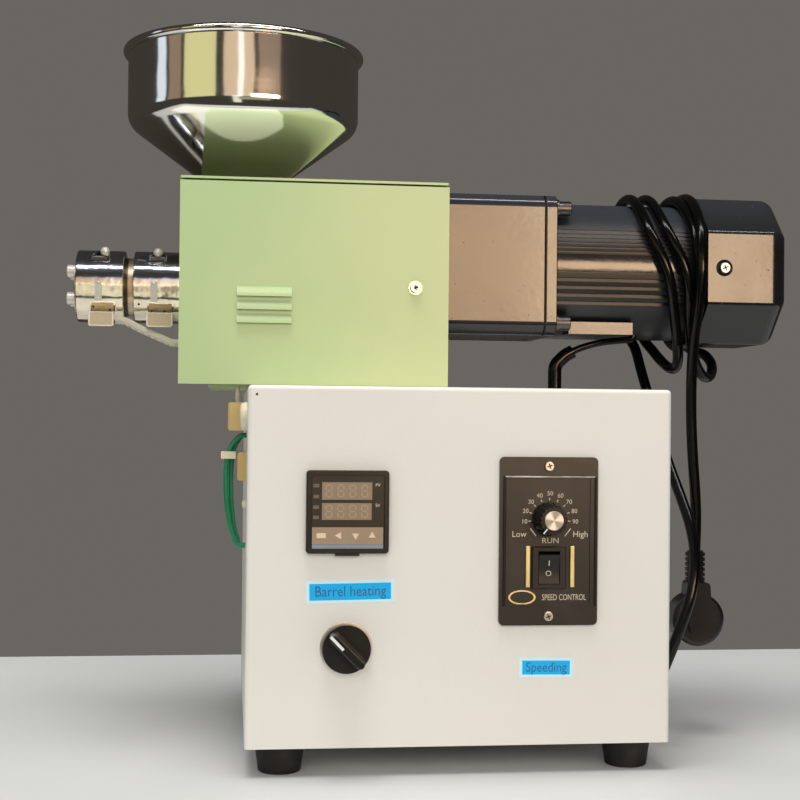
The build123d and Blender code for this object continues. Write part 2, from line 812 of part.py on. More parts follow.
def round_band(angle, radius, x):
    """A plane on the band: its normal points out of it at the angle, from the top towards the front."""
    lean = radians(angle)
    out = (0, -sin(lean), cos(lean))
    origin = (x, axis_y + radius * out[1], barrel_z + radius * out[2])
    return Plane(origin=origin, x_dir=(1, 0, 0), z_dir=out)


# Band heaters, each with a window for its clamp
for number in range(heater_count):
    with BuildPart() as band:
        with BuildSketch(across_plane(heater_start(number), z=barrel_z)):
            Circle(heater_radius)
            Circle(heater_radius - heater_jacket, mode=Mode.SUBTRACT)
        extrude(amount=heater_width)
        chamfer(band.edges().filter_by(GeomType.CIRCLE).group_by(SortBy.RADIUS)[-1], small_edge)
        with BuildSketch(round_band(heater_window_angle, heater_radius + 1, heater_middle(number))):
            Rectangle(heater_window_length, heater_window_width)
        extrude(amount=-heater_window_depth - 1, mode=Mode.SUBTRACT)
    save(band, f"heater_band_{number + 1}")

# A clamp in each window: a round nut along the barrel, and its screw with the head towards the top
with BuildPart() as heater_clamps:
    for number in range(heater_count):
        floor = round_band(heater_window_angle, heater_radius - heater_window_depth, heater_middle(number))
        axis = floor.origin + floor.z_dir * clamp_head_radius - floor.y_dir * clamp_pin_offset
        with BuildSketch(Plane(origin=axis, x_dir=floor.z_dir, z_dir=floor.x_dir)):
            Circle(clamp_pin_radius)
        extrude(amount=clamp_pin_length / 2, both=True)
        with BuildSketch(Plane(origin=axis, x_dir=floor.x_dir, z_dir=floor.y_dir)):
            Circle(clamp_screw_radius)
        extrude(amount=clamp_pin_radius + clamp_neck)
        with BuildSketch(Plane(origin=axis, x_dir=floor.x_dir, z_dir=floor.y_dir).offset(clamp_pin_radius + clamp_neck)):
            Circle(clamp_head_radius)
        extrude(amount=clamp_head)
save(heater_clamps, "heater_clamps")

# A terminal box under each band, open at its outer end over a ceramic core
with BuildPart() as heater_terminals:
    for number in range(heater_count):
        box_at = round_band(terminal_angle, heater_radius, heater_middle(number) + terminal_shift)
        with BuildSketch(box_at.offset(-terminal_sink)):
            RectangleRounded(terminal_length, terminal_width, terminal_wall)
        extrude(amount=terminal_reach + terminal_sink)
        with BuildSketch(box_at.offset(terminal_reach)):
            Rectangle(terminal_length - 2 * terminal_wall, terminal_width - 2 * terminal_wall)
        extrude(amount=-terminal_recess, mode=Mode.SUBTRACT)
        with BuildSketch(across_plane(heater_start(number) - 1, z=barrel_z)):
            Circle(heater_radius + fit_gap)
        extrude(amount=heater_width + 2, mode=Mode.SUBTRACT)
save(heater_terminals, "heater_terminals")

# Hopper: a spun funnel with a rolled rim
hopper_top = guard_top + hopper_height
hopper_bottom = block_top + seam
with BuildPart() as hopper:
    with BuildSketch(Plane(origin=(hopper_x, axis_y, 0), x_dir=(1, 0, 0), z_dir=(0, -1, 0))):
        with BuildLine():
            FilletPolyline(
                (hopper_neck_radius, hopper_bottom),
                (hopper_neck_radius, guard_top + hopper_neck_top),
                (hopper_radius, hopper_top - hopper_rim_tube - hopper_straight),
                (hopper_radius, hopper_top - hopper_rim_tube),
                radius=[hopper_neck_round, hopper_shoulder],
            )
            offset(amount=hopper_wall, side=Side.LEFT)
        make_face()
        with Locations((hopper_rim_radius, hopper_top - hopper_rim_tube)):
            Circle(hopper_rim_tube)
    revolve(axis=Axis((hopper_x, axis_y, 0), (0, 0, 1)))
save(hopper, "hopper")

# Gearbox and the motor's flange, bolted together at the corners
with BuildPart() as gearbox:
    with BuildSketch(across_plane(gearbox_left, z=motor_z)):
        RectangleRounded(gearbox_size, gearbox_size, gearbox_corner)
    extrude(amount=gearbox_length - gearbox_step)
    with BuildSketch(across_plane(flange_left - gearbox_step, z=motor_z)):
        relieved = gearbox_size - 2 * gearbox_step
        RectangleRounded(relieved, relieved, gearbox_corner - gearbox_step)
    extrude(amount=gearbox_step)
save(gearbox, "gearbox")

with BuildPart() as motor_flange:
    with BuildSketch(across_plane(flange_left, z=motor_z)):
        RectangleRounded(gearbox_size, gearbox_size, gearbox_corner)
    extrude(amount=flange_length)
    chamfer(motor_flange.faces().sort_by(Axis.X)[-1].edges(), small_edge)
save(motor_flange, "motor_flange")

with BuildPart() as flange_bolts:
    with BuildSketch(across_plane(motor_left, z=motor_z)):
        with GridLocations(flange_bolt_spread, flange_bolt_spread, 2, 2):
            Circle(flange_washer_radius)
    extrude(amount=flange_washer)
    with BuildSketch(across_plane(motor_left + flange_washer, z=motor_z)):
        with GridLocations(flange_bolt_spread, flange_bolt_spread, 2, 2):
            Circle(flange_bolt_radius)
    extrude(amount=flange_bolt_head)
    chamfer(flange_bolts.faces().group_by(Axis.X)[-1].edges(), small_edge)
    with BuildSketch(across_plane(motor_left + flange_washer + flange_bolt_head, z=motor_z)):
        with GridLocations(flange_bolt_spread, flange_bolt_spread, 2, 2):
            RegularPolygon(flange_bolt_socket, 6)
    extrude(amount=-flange_bolt_socket_depth, mode=Mode.SUBTRACT)
save(flange_bolts, "flange_bolts")

# Motor: a round housing with fine grooves above its smooth waist and coarse ones below it, and a pad
# along each side of its underside
fine_grooves = [fine_groove_start + fine_groove_pitch * n for n in range(fine_groove_count)]
coarse_grooves = [-coarse_groove_start - coarse_groove_pitch * n for n in range(coarse_groove_count)]
with BuildPart() as motor_body:
    with BuildSketch(across_plane(motor_left, z=motor_z)):
        Circle(motor_radius)
        for heights, width in ((fine_grooves, fine_groove_width), (coarse_grooves, coarse_groove_width)):
            for height in heights:
                reach = (motor_radius**2 - height**2) ** 0.5
                with Locations((reach, height), (-reach, height)):
                    Rectangle(2 * motor_groove_depth, width, mode=Mode.SUBTRACT)
    extrude(amount=motor_length)
save(motor_body, "motor_body")

pad_left = motor_left + motor_pad_start
pad_bottom = motor_z - motor_pad_drop
with BuildPart() as motor_pad:
    with BuildSketch(across_plane(pad_left, z=pad_bottom)):
        with Locations((0, motor_pad_height / 2)):
            Rectangle(2 * motor_pad_half_depth, motor_pad_height)
        with Locations((0, motor_z - pad_bottom)):
            Circle(motor_radius + seat_gap, mode=Mode.SUBTRACT)
    extrude(amount=motor_pad_length)
save(motor_pad, "motor_pad")

with BuildPart() as fan_cover:
    with BuildSketch(across_plane(fan_left, z=motor_z)):
        outline = Rectangle(fan_cover_size, fan_cover_size)
        chamfer(outline.vertices(), fan_cover_chamfer)
    extrude(amount=fan_cover_length)
    fillet(fan_cover.edges().filter_by(Axis.X), fan_cover_edge)
    fillet(fan_cover.faces().sort_by(Axis.X)[-1].edges(), fan_cover_end_round)
    with BuildSketch(across_plane(fan_left + fan_cover_length, z=motor_z)):
        with PolarLocations((fan_slot_inner + fan_slot_outer) / 2, fan_slot_count):
            SlotOverall(fan_slot_outer - fan_slot_inner, fan_slot_width)
    extrude(amount=-fan_slot_depth, mode=Mode.SUBTRACT)
save(fan_cover, "fan_cover")

with BuildPart() as fan_screws:
    for facing in (-1, 1):
        side_y = axis_y + facing * fan_cover_size / 2
        side = Plane(
            origin=(fan_left + fan_screw_from_edge, side_y, motor_z),
            x_dir=(-facing, 0, 0),
            z_dir=(0, facing, 0),
        )
        with BuildSketch(side):
            Circle(fan_screw_radius)
        extrude(amount=fan_screw_head)
    ends = fan_screws.faces().group_by(Axis.Y)
    chamfer(ends[0].edges() + ends[-1].edges(), small_edge)
save(fan_screws, "fan_screws")

# Terminal blocks and a dome plug on the cabinet's left side
block_y = cabinet_front + block_back
with BuildPart() as terminal_blocks:
    for drop, thickness in zip(block_drops, block_thicknesses):
        with BuildSketch(Plane.YZ.offset(cabinet_left)):
            with Locations((block_y, cabinet_top - drop)):
                Rectangle(block_depth, block_height)
        extrude(amount=-thickness)
        outer = terminal_blocks.faces().filter_by_position(Axis.X, cabinet_left - thickness, cabinet_left - thickness)
        chamfer(outer.edges(), block_edge)
save(terminal_blocks, "terminal_blocks")

with BuildPart() as side_plugs:
    for back, drop, radius, proud in (
        (dome_back, block_drops[0], dome_radius, dome_proud),
        (block_back, nub_drop, nub_radius, nub_proud),
    ):
        with BuildSketch(Plane.YZ.offset(cabinet_left)):
            with Locations((cabinet_front + back, cabinet_top - drop)):
                Circle(radius)
        extrude(amount=-proud)
        outer = side_plugs.faces().filter_by_position(Axis.X, cabinet_left - proud, cabinet_left - proud)
        fillet(outer.edges(), 0.8 * proud)
save(side_plugs, "side_plugs")

# Mains cord gland in the cabinet's back
rear_face = cabinet_back - back_inset
with BuildPart() as mains_gland:
    gland_profile = Plane(origin=(gland_x, rear_face, gland_z), x_dir=(1, 0, 0), z_dir=(0, 0, 1))
    with BuildSketch(gland_profile):
        with BuildLine():
            Polyline(
                (0, -cabinet_sheet - gland_thread),
                (gland_radius, -cabinet_sheet - gland_thread),
                (gland_radius, 0),
                (gland_flange_radius, 0),
                (gland_flange_radius, gland_flange),
                (gland_radius - soft_edge, gland_flange),
                (cord_diameter / 2 + gland_lip, gland_proud),
                (0, gland_proud),
                close=True,
            )
        make_face()
    revolve(axis=Axis((gland_x, rear_face, gland_z), (0, 1, 0)))
save(mains_gland, "mains_gland")


def cord_radii(points):
    """The largest arc that fits each corner of a route, from its shorter run and its turn."""
    radii = []
    for before, corner, after in zip(points, points[1:], points[2:]):
        run_in = Vector(*corner) - Vector(*before)
        run_out = Vector(*after) - Vector(*corner)
        turn = radians(run_in.get_angle(run_out))
        radii.append(0.45 * min(run_in.length, run_out.length) / tan(turn / 2))
    return radii


def tube(name, points, diameter):
    """A round tube along a route of straight runs joined by arcs."""
    radii = cord_radii(points)
    with BuildPart() as cord:
        with BuildLine() as route:
            FilletPolyline(*points, radius=radii)
        with BuildSketch(Plane(origin=route.line @ 0, z_dir=route.line % 0)):
            Circle(diameter / 2)
        sweep()
    length = sum(edge.length for edge in route.edges())
    section = pi * diameter**2 / 4
    print(name, "length", round(length), "smallest radius", round(min(radii), 1),
          "volume share", round(cord.part.volume / (section * length), 4))
    return cord


def between(low, high, shares):
    """Points inside a box, each given as its shares of the way from the low to the high corner."""
    low, high = Vector(*low), Vector(*high)
    return [
        (
            low.X + along * (high.X - low.X),
            low.Y + back * (high.Y - low.Y),
            low.Z + up * (high.Z - low.Z),
        )
        for along, back, up in shares
    ]


# Motor lead: out of the motor's underside, along it, and down in a sleeve into the cabinet's top
lead_entry = (motor_left + lead_entry_reach, axis_y - lead_entry_side, cabinet_top + motor_grommet_height)
lead_exit = (pad_left + motor_pad_length + lead_exit_reach, axis_y - lead_exit_side, pad_bottom + lead_sink)
motor_lead_route = between(lead_entry, lead_exit, [
    (1.0, 1.0, 1.0),
    (0.983, 1.0, 0.835),
    (0.803, 0.75, 0.816),
    (0.548, 0.333, 0.773),
    (0.299, 0.083, 0.673),
    (0.127, 0.0, 0.553),
    (0.0, 0.0, 0.38),
    (0.0, 0.02, 0.19),
    (0.0, 0.02, 0.0),
])
wires = tube("motor_lead wires", motor_lead_route, motor_lead_diameter)
sleeve_start = (Vector(*motor_lead_route[4]) + Vector(*motor_lead_route[5])) / 2
sleeve = tube("motor_lead sleeve", [tuple(sleeve_start)] + motor_lead_route[5:], motor_sleeve_diameter)
with BuildPart() as motor_lead:
    add(wires.part)
    add(sleeve.part)
save(motor_lead, "motor_lead")

with BuildPart() as motor_grommet:
    with BuildSketch(Plane.XY.offset(cabinet_top)):
        with Locations(motor_lead_route[-1][:2]):
            Circle(motor_grommet_radius)
    extrude(amount=motor_grommet_height)
    fillet(motor_grommet.faces().sort_by(Axis.Z)[-1].edges(), soft_edge)
save(motor_grommet, "motor_grommet")

# White sleeves from the heaters' terminals to the guard, and a thin lead from it to the upper block
terminal_middle = heater_radius + terminal_reach / 2
terminal_y = axis_y - terminal_middle * sin(radians(terminal_angle))
terminal_z = barrel_z + terminal_middle * cos(radians(terminal_angle))
terminal_ends = [heater_middle(number) + terminal_shift + terminal_length / 2 for number in range(heater_count)]
first_lead = tube(
    "heater_leads",
    between(
        (terminal_ends[0], terminal_y, terminal_z - heater_lead_diameter / 2),
        (guard_left, terminal_y - heater_lead_side, terminal_z - heater_lead_fall),
        [
            (0.0, 0.0, 0.0),
            (0.14, 0.0, 0.0),
            (0.37, 0.18, 0.36),
            (0.65, 0.64, 0.72),
            (0.86, 1.0, 1.0),
            (1.0, 1.0, 1.0),
        ],
    ),
    heater_lead_diameter,
)
with BuildPart() as heater_leads:
    add(first_lead.part)
    with BuildSketch(across_plane(terminal_ends[1], terminal_y, terminal_z)):
        Circle(heater_lead_diameter / 2)
    extrude(amount=guard_left - terminal_ends[1])
    with BuildSketch(Plane.XY.offset(cabinet_top)):
        with Locations((cabinet_left - block_thicknesses[0] / 2, block_y)):
            Circle(block_lead_diameter / 2)
    extrude(amount=block_height / 2 - block_drops[0])
save(heater_leads, "heater_leads")

# Two green wires out of the left side, over the lower block and back in, held by a tie
green_top = cabinet_top - block_drops[0] - block_height / 2 - green_wire_diameter
green_bottom = cabinet_top - green_wire_drop
with BuildPart() as green_wires:
    for side in (-1, 1):
        back = block_y + side * green_wire_spread / 2
        reach = green_wire_reach - (1 + side) / 2 * green_wire_nest
        wire = tube(
            "green_wires",
            between(
                (cabinet_left, back, green_bottom),
                (cabinet_left - reach, back, green_top),
                [
                    (0.0, 0.0, 1.0),
                    (0.31, 0.0, 1.0),
                    (0.8, 0.0, 0.9),
                    (1.0, 0.0, 0.72),
                    (0.97, 0.0, 0.43),
                    (0.77, 0.0, 0.17),
                    (0.41, 0.0, 0.0),
                    (0.0, 0.0, 0.0),
                ],
            ),
            green_wire_diameter,
        )
        add(wire.part)
save(green_wires, "green_wires")

with BuildPart() as wire_tie:
    tie_z = green_bottom + tie_share * (green_top - green_bottom)
    with Locations((cabinet_left - green_wire_reach + green_wire_nest / 2, block_y, tie_z)):
        Box(tie_width, tie_depth, tie_height)
    fillet(wire_tie.edges().filter_by(Axis.Y), small_edge)
    add(green_wires.part, mode=Mode.SUBTRACT)
save(wire_tie, "wire_tie")

# Mains cord, its first part: from the gland to the table in a loose bend behind the cabinet, forward
# along the cabinet's right side, and up to the motor
gland_end = rear_face + gland_proud
side_x = cabinet_right + cord_side_gap + cord_diameter / 2
on_table = cord_diameter / 2 + seam
behind = between(
    (gland_x, gland_end, on_table),
    (side_x, gland_end + cord_bend_reach, gland_z),
    [
        (0.0, 0.0, 1.0),
        (0.0, 0.44, 1.0),
        (0.147, 0.795, 0.8),
        (0.433, 1.0, 0.56),
        (0.787, 0.98, 0.337),
        (1.105, 0.76, 0.173),
        (1.265, 0.31, 0.05),
        (1.22, -0.21, 0.004),
    ],
)
beside = between(
    (side_x, cabinet_front, on_table),
    (side_x + cord_side_wander, cabinet_back, on_table + cord_diameter),
    [
        (1.0, 0.908, 0.0),
        (0.27, 0.762, 0.0),
        (0.0, 0.615, 0.0),
        (0.07, 0.508, 0.085),
        (0.2, 0.408, 0.74),
    ],
)
coil_radius = motor_radius + coil_turn
coil_left = fan_left - coil_span
coil_low = motor_z - coil_hang
rising = between(
    (side_x, cabinet_front + cord_front, on_table),
    (fan_left - cord_fan_gap, axis_y, coil_low + loop_radius),
    [
        (0.051, 0.361, 0.071),
        (0.148, 0.139, 0.147),
        (0.285, 0.028, 0.223),
        (0.473, 0.0, 0.301),
        (0.629, 0.0, 0.369),
        (0.753, 0.069, 0.455),
        (0.761, 0.194, 0.533),
        (0.68, 0.361, 0.611),
        (0.554, 0.556, 0.699),
        (0.446, 0.736, 0.797),
        (0.382, 0.889, 0.881),
        (0.352, 1.056, 0.957),
        (0.339, 1.222, 1.027),
    ],
)
mains_lead = tube("mains_lead", behind + beside + rising, cord_diameter)
save(mains_lead, "mains_lead")

# The turns round the motor, as one ring with the slack that hangs under it
with BuildPart() as mains_coil:
    with BuildSketch(across_plane(coil_left, z=motor_z)):
        Circle(coil_radius)
        with Locations((0, -coil_hang + loop_radius)):
            Circle(loop_radius)
        make_hull()
        Circle(motor_radius + coil_clear, mode=Mode.SUBTRACT)
    extrude(amount=fan_left - coil_clear - coil_left)
    lean = Plane(
        origin=(coil_left, axis_y, motor_z + coil_radius),
        x_dir=(0, 1, 0),
        z_dir=(cos(radians(coil_lean)), 0, sin(radians(coil_lean))),
    )
    split(bisect_by=lean, keep=Keep.TOP)
save(mains_coil, "mains_coil")

# The cord's last part hangs from the turns to the plug
drop_route = between(
    (fan_left - cord_fan_gap, cabinet_front + drop_front, plug_relief_top),
    (fan_left, axis_y, motor_z - drop_start),
    [
        (-0.1, -0.16, 1.0),
        (-0.649, -0.079, 0.835),
        (-1.081, -0.01, 0.619),
        (-0.703, 0.0, 0.418),
        (0.027, 0.0, 0.219),
        (0.15, 0.0, 0.109),
        (0.0, 0.0, 0.0),
    ],
)
mains_drop = tube("mains_drop", drop_route, cord_diameter)
save(mains_drop, "mains_drop")

# Plug: a round body with a tapered grip down from its strain relief, and its pins at the back
plug_x, plug_y, relief_top = drop_route[-1]
grip_top = relief_top - plug_relief_length
plug_z = grip_top - plug_neck - plug_radius
plug_face = Plane(origin=(plug_x, plug_y - plug_thickness / 2, plug_z), x_dir=(1, 0, 0), z_dir=(0, -1, 0))
with BuildPart() as mains_plug:
    with BuildSketch(plug_face):
        Circle(plug_radius)
    extrude(amount=-plug_thickness)
    fillet(mains_plug.edges().filter_by(GeomType.CIRCLE), plug_round)
    with BuildSketch(plug_face.offset(plug_grip_proud)):
        with BuildLine():
            FilletPolyline(
                (-plug_relief_radius, grip_top - plug_z),
                (-plug_relief_radius - plug_grip_flare, 0),
                (-plug_relief_radius, -plug_radius + plug_grip_foot),
                (plug_relief_radius, -plug_radius + plug_grip_foot),
                (plug_relief_radius + plug_grip_flare, 0),
                (plug_relief_radius, grip_top - plug_z),
                radius=plug_round,
                close=True,
            )
        make_face()
    extrude(amount=-plug_grip_proud - plug_thickness + plug_round)
    for n in range(plug_rib_count):
        with BuildSketch(Plane.XY.offset(grip_top + n * plug_relief_length / plug_rib_count)):
            with Locations((plug_x, plug_y)):
                Circle(plug_relief_radius)
        extrude(amount=plug_relief_length / plug_rib_count * plug_rib_share)
    with BuildSketch(Plane.XY.offset(grip_top)):
        with Locations((plug_x, plug_y)):
            Circle(plug_relief_radius - plug_rib_depth)
    extrude(amount=plug_relief_length)
    with BuildSketch(plug_face.offset(-plug_thickness)):
        with GridLocations(plug_pin_spread, 0, 2, 1):
            Circle(plug_pin_radius)
    extrude(amount=-plug_pin_length)
save(mains_plug, "mains_plug")
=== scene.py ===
# %% [markdown]
# # A laboratory extruder, dressed in Blender
# The solid model of the machine arrives as a fixed frame: every part already has its size and its
# place. This lesson gives each part its finish, adds the small pieces that a solid model leaves out,
# winds the mains cord round the motor, and lights the whole thing on a table.

# %% Load the frame
from math import cos, pi, radians, sin

import bmesh
import bpy
from mathutils import Matrix, Vector


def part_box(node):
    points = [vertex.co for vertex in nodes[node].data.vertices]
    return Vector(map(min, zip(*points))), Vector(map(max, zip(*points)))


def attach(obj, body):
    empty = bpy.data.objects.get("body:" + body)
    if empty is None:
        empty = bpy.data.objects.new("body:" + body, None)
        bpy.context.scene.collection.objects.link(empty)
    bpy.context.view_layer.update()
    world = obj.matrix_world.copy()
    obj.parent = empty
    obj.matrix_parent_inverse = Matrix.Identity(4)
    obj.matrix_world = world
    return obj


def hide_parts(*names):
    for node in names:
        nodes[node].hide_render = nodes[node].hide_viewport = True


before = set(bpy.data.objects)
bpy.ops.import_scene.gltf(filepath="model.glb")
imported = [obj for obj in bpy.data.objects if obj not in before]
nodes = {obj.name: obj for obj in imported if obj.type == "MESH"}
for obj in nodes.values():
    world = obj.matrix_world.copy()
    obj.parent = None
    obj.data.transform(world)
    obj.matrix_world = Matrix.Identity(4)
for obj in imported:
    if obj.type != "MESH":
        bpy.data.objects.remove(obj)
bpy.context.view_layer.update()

# %% [markdown]
# Places on the machine are easiest to read from its cabinet: so far from its left side, so far behind
# its front panel, so far above the table. One small function turns such a place, in millimetres, into
# Blender's metres.

# %% Places on the machine
cabinet_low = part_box("cabinet_shell")[0]
motor_low, motor_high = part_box("motor_body")
motor_axis = Vector((0, (motor_low.y + motor_high.y) / 2, (motor_low.z + motor_high.z) / 2))


def place(from_left, behind, above):
    return Vector((
        cabinet_low.x + from_left / 1000,
        cabinet_low.y + behind / 1000,
        above / 1000,
    ))


print("motor axis", tuple(round(v, 4) for v in motor_axis))

# %% [markdown]
# ## The camera
# The photograph was taken a little under a metre in front of the panel and slightly to its left. The
# verticals stay nearly upright, so the camera is tilted by less than a degree. Its heading, tilt and
# roll are a chain of turns. The Standard view leaves the colours as they are written.

# %% Camera
scene = bpy.context.scene
camera = bpy.data.objects.new("camera", bpy.data.cameras.new("camera"))
camera.data.lens = 63
camera.data.sensor_width = 36
heading = Matrix.Rotation(radians(-6.84), 4, "Z")
tilt = Matrix.Rotation(radians(90 + 0.64), 4, "X")
roll = Matrix.Rotation(radians(0.59), 4, "Z")
camera.matrix_world = Matrix.Translation((-0.1297, -0.9434, 0.2100)) @ heading @ tilt @ roll
scene.collection.objects.link(camera)
scene.camera = camera
scene.view_settings.view_transform = "Standard"
print("camera at", tuple(round(v, 3) for v in camera.matrix_world.translation))

# %% [markdown]
# ## The mains cord
# The cord is one length of 7 mm flex. It leaves the gland at the back, lies on the table, comes forward
# along the right side, rises to the motor, goes round it almost four times and hangs down to its plug.
# A NURBS curve, which is drawn towards its points without passing through them, bends the way a real
# cord does, and a round bevel gives it thickness. The points up to the motor and down to the plug are
# those of the solid model, apart from the ones next to the turns.

# %% The cord's way to the motor
cord_diameter = 0.007
to_motor = [
    (0.0794, 0.1500, 0.0610), (0.0794, 0.1749, 0.0610), (0.0884, 0.1950, 0.0496),
    (0.1059, 0.2066, 0.0358), (0.1275, 0.2055, 0.0231), (0.1469, 0.1930, 0.0137),
    (0.1566, 0.1675, 0.0067), (0.1539, 0.1381, 0.0040), (0.1479, 0.1041, 0.0038),
    (0.1425, 0.0661, 0.0038), (0.1404, 0.0279, 0.0038), (0.1410, 0.0001, 0.0044),
    (0.1419, -0.0259, 0.0090), (0.1423, -0.0480, 0.0215), (0.1460, -0.0640, 0.0405),
    (0.1511, -0.0720, 0.0595), (0.1580, -0.0740, 0.0790), (0.1638, -0.0740, 0.0960),
    (0.1685, -0.0690, 0.1176), (0.1688, -0.0600, 0.1371), (0.1657, -0.0480, 0.1566),
    (0.1611, -0.0340, 0.1786), (0.1570, -0.0210, 0.2031), (0.1543, -0.0100, 0.2240),
    (0.1520, 0.0020, 0.2432), (0.1516, 0.0145, 0.2596),
]
to_plug = [
    (0.1736, -0.0530, 0.2775), (0.1726, -0.0470, 0.2588), (0.1737, -0.0404, 0.2235),
    (0.1750, -0.0400, 0.1906), (0.1777, -0.0400, 0.1580), (0.1782, -0.0400, 0.1400),
    (0.1776, -0.0400, 0.1222),
]
print("points to the motor", len(to_motor), "and to the plug", len(to_plug))

# %% [markdown]
# The turns were wound by hand, so no two are alike. Each one is given by how far round the motor its
# points are and where they are along it, and where they don't lie on it also by how far they stand off
# its axis. Two turns are too long for the motor and hang under it in slack loops: a narrow one, and a
# wider one that swings out under the fan's cover.

# %% The turns round the motor
on_motor = 51.3


def round_motor(stations):
    """Points round the motor: degrees from its underside towards the back, mm along X, mm off the axis."""
    points = []
    for degrees_round, along, *off in stations:
        turn = radians(degrees_round)
        reach = off[0] if off else on_motor
        points.append((
            along / 1000,
            motor_axis.y + reach / 1000 * sin(turn),
            motor_axis.z - reach / 1000 * cos(turn),
        ))
    return points


first_turn = round_motor([
    (33, 150.4, 51.8), (50, 148.4), (70, 145.9), (91, 143.4), (112, 141.4), (135, 139.8),
    (157, 139.1), (178, 139.1), (197, 139.1), (214, 139.1), (229, 140.1), (242, 142.1),
    (253, 145.6), (264, 149.8), (275, 153.6), (287, 156.6, 51.4), (300, 159.2, 51.7),
])
left_loop = [
    (0.1614, -0.0445, 0.2730), (0.1636, -0.0420, 0.2600), (0.1666, -0.0355, 0.2485),
    (0.1676, -0.0250, 0.2428), (0.1656, -0.0135, 0.2453), (0.1636, -0.0010, 0.2517),
    (0.1620, 0.0115, 0.2590),
]
second_turn = round_motor([
    (29, 160.8, 51.9), (46, 159.4, 51.4), (66, 157.2), (87, 154.8), (108, 153.1), (130, 151.6),
    (152, 150.8), (173, 150.6), (192, 150.6), (209, 150.6), (225, 151.3), (240, 154.2),
    (254, 158.8), (266, 163.4), (278, 166.8, 51.5), (291, 169.1, 51.8), (305, 170.4, 52.2),
])
right_loop = [
    (0.1718, -0.0415, 0.2715), (0.1744, -0.0375, 0.2595), (0.1794, -0.0310, 0.2475),
    (0.1879, -0.0225, 0.2380), (0.1974, -0.0115, 0.2385), (0.2029, -0.0005, 0.2475),
    (0.2009, 0.0110, 0.2558), (0.1969, 0.0220, 0.2575), (0.1899, 0.0315, 0.2645),
    (0.1820, 0.0395, 0.2720),
]
third_turn = round_motor([
    (58, 171.1, 53), (76, 170.4, 51.4), (97, 170.1), (119, 169.8), (141, 169.8), (163, 170.1),
    (185, 170.4), (206, 171.1), (226, 172.1), (245, 173.2), (262, 174.1), (278, 175.2),
    (294, 176.8), (312, 177.6), (332, 177.8), (353, 177.8),
])
last_turn = round_motor([
    (15, 177.8), (37, 177.8), (59, 177.8), (81, 177.8), (103, 177.6), (125, 177.6), (147, 177.4),
    (169, 177.3, 51.5), (190, 177.2, 52.6), (210, 176.4, 54.8), (228, 175.6, 57), (244, 174.8, 58),
    (259, 174.1, 58.4), (273, 173.8, 58.6), (287, 173.8, 58.6),
])
turns = first_turn + left_loop + second_turn + right_loop + third_turn + last_turn
print("points in the turns", len(turns))

# %% [markdown]
# The curve's order and its clamped ends are set after the points are in, because an empty spline can't
# take them. A curve's bounding box grows by the radius of its points, which is a whole metre unless it
# is set. So the points carry the cord's real radius, and the bevel only multiplies it by one.

# %% The cord itself


def flex(name, points, diameter):
    """A round cord along one smooth spline."""
    line = bpy.data.curves.new(name, "CURVE")
    line.dimensions = "3D"
    line.bevel_depth = 1
    line.bevel_resolution = 5
    line.resolution_u = 5
    line.use_fill_caps = True
    spline = line.splines.new("NURBS")
    spline.points.add(len(points) - 1)
    for point, corner in zip(spline.points, points):
        point.co = (*corner, 1)
        point.radius = diameter / 2
    spline.order_u = 3
    spline.use_endpoint_u = True
    spline.use_smooth = True
    cord = bpy.data.objects.new(name, line)
    scene.collection.objects.link(cord)
    return cord


mains_cord = flex("mains_cord", to_motor + turns + to_plug, cord_diameter)
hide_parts("mains_lead", "mains_coil", "mains_drop")
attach(mains_cord, "machine")
print("cord points", len(to_motor + turns + to_plug))

# %% [markdown]
# ## Shader arithmetic
# A material is easier to read as a formula than as a web of nodes. A small class holds one socket and
# answers to plus, minus, times and `abs` by adding the Math node for it, so that a line such as
# `0.3 + 0.1 * speckle` builds its nodes by itself.

# %% Values that do sums


class Value:
    """A number that varies over the surface: one output socket of a finish's nodes."""

    def __init__(self, finish, socket):
        self.finish = finish
        self.socket = socket

    def sum_node(self, operation, first, second=0.0):
        return self.finish.node("ShaderNodeMath", {"operation": operation}, {0: first, 1: second})

    def __add__(self, other):
        return self.sum_node("ADD", self, other)

    def __radd__(self, other):
        return self.sum_node("ADD", other, self)

    def __sub__(self, other):
        return self.sum_node("SUBTRACT", self, other)

    def __rsub__(self, other):
        return self.sum_node("SUBTRACT", other, self)

    def __mul__(self, other):
        return self.sum_node("MULTIPLY", self, other)

    def __rmul__(self, other):
        return self.sum_node("MULTIPLY", other, self)

    def __abs__(self):
        return self.sum_node("ABSOLUTE", self)


# %% [markdown]
# A finish is one material. Its `node` method makes any node: the kind, the settings that come first,
# and then the values or links of its sockets. The other methods are the few patterns that most finishes
# here share: where a point is, cloudy noise, a moved range, a mix of two colours, and a bump.

# %% Finishes


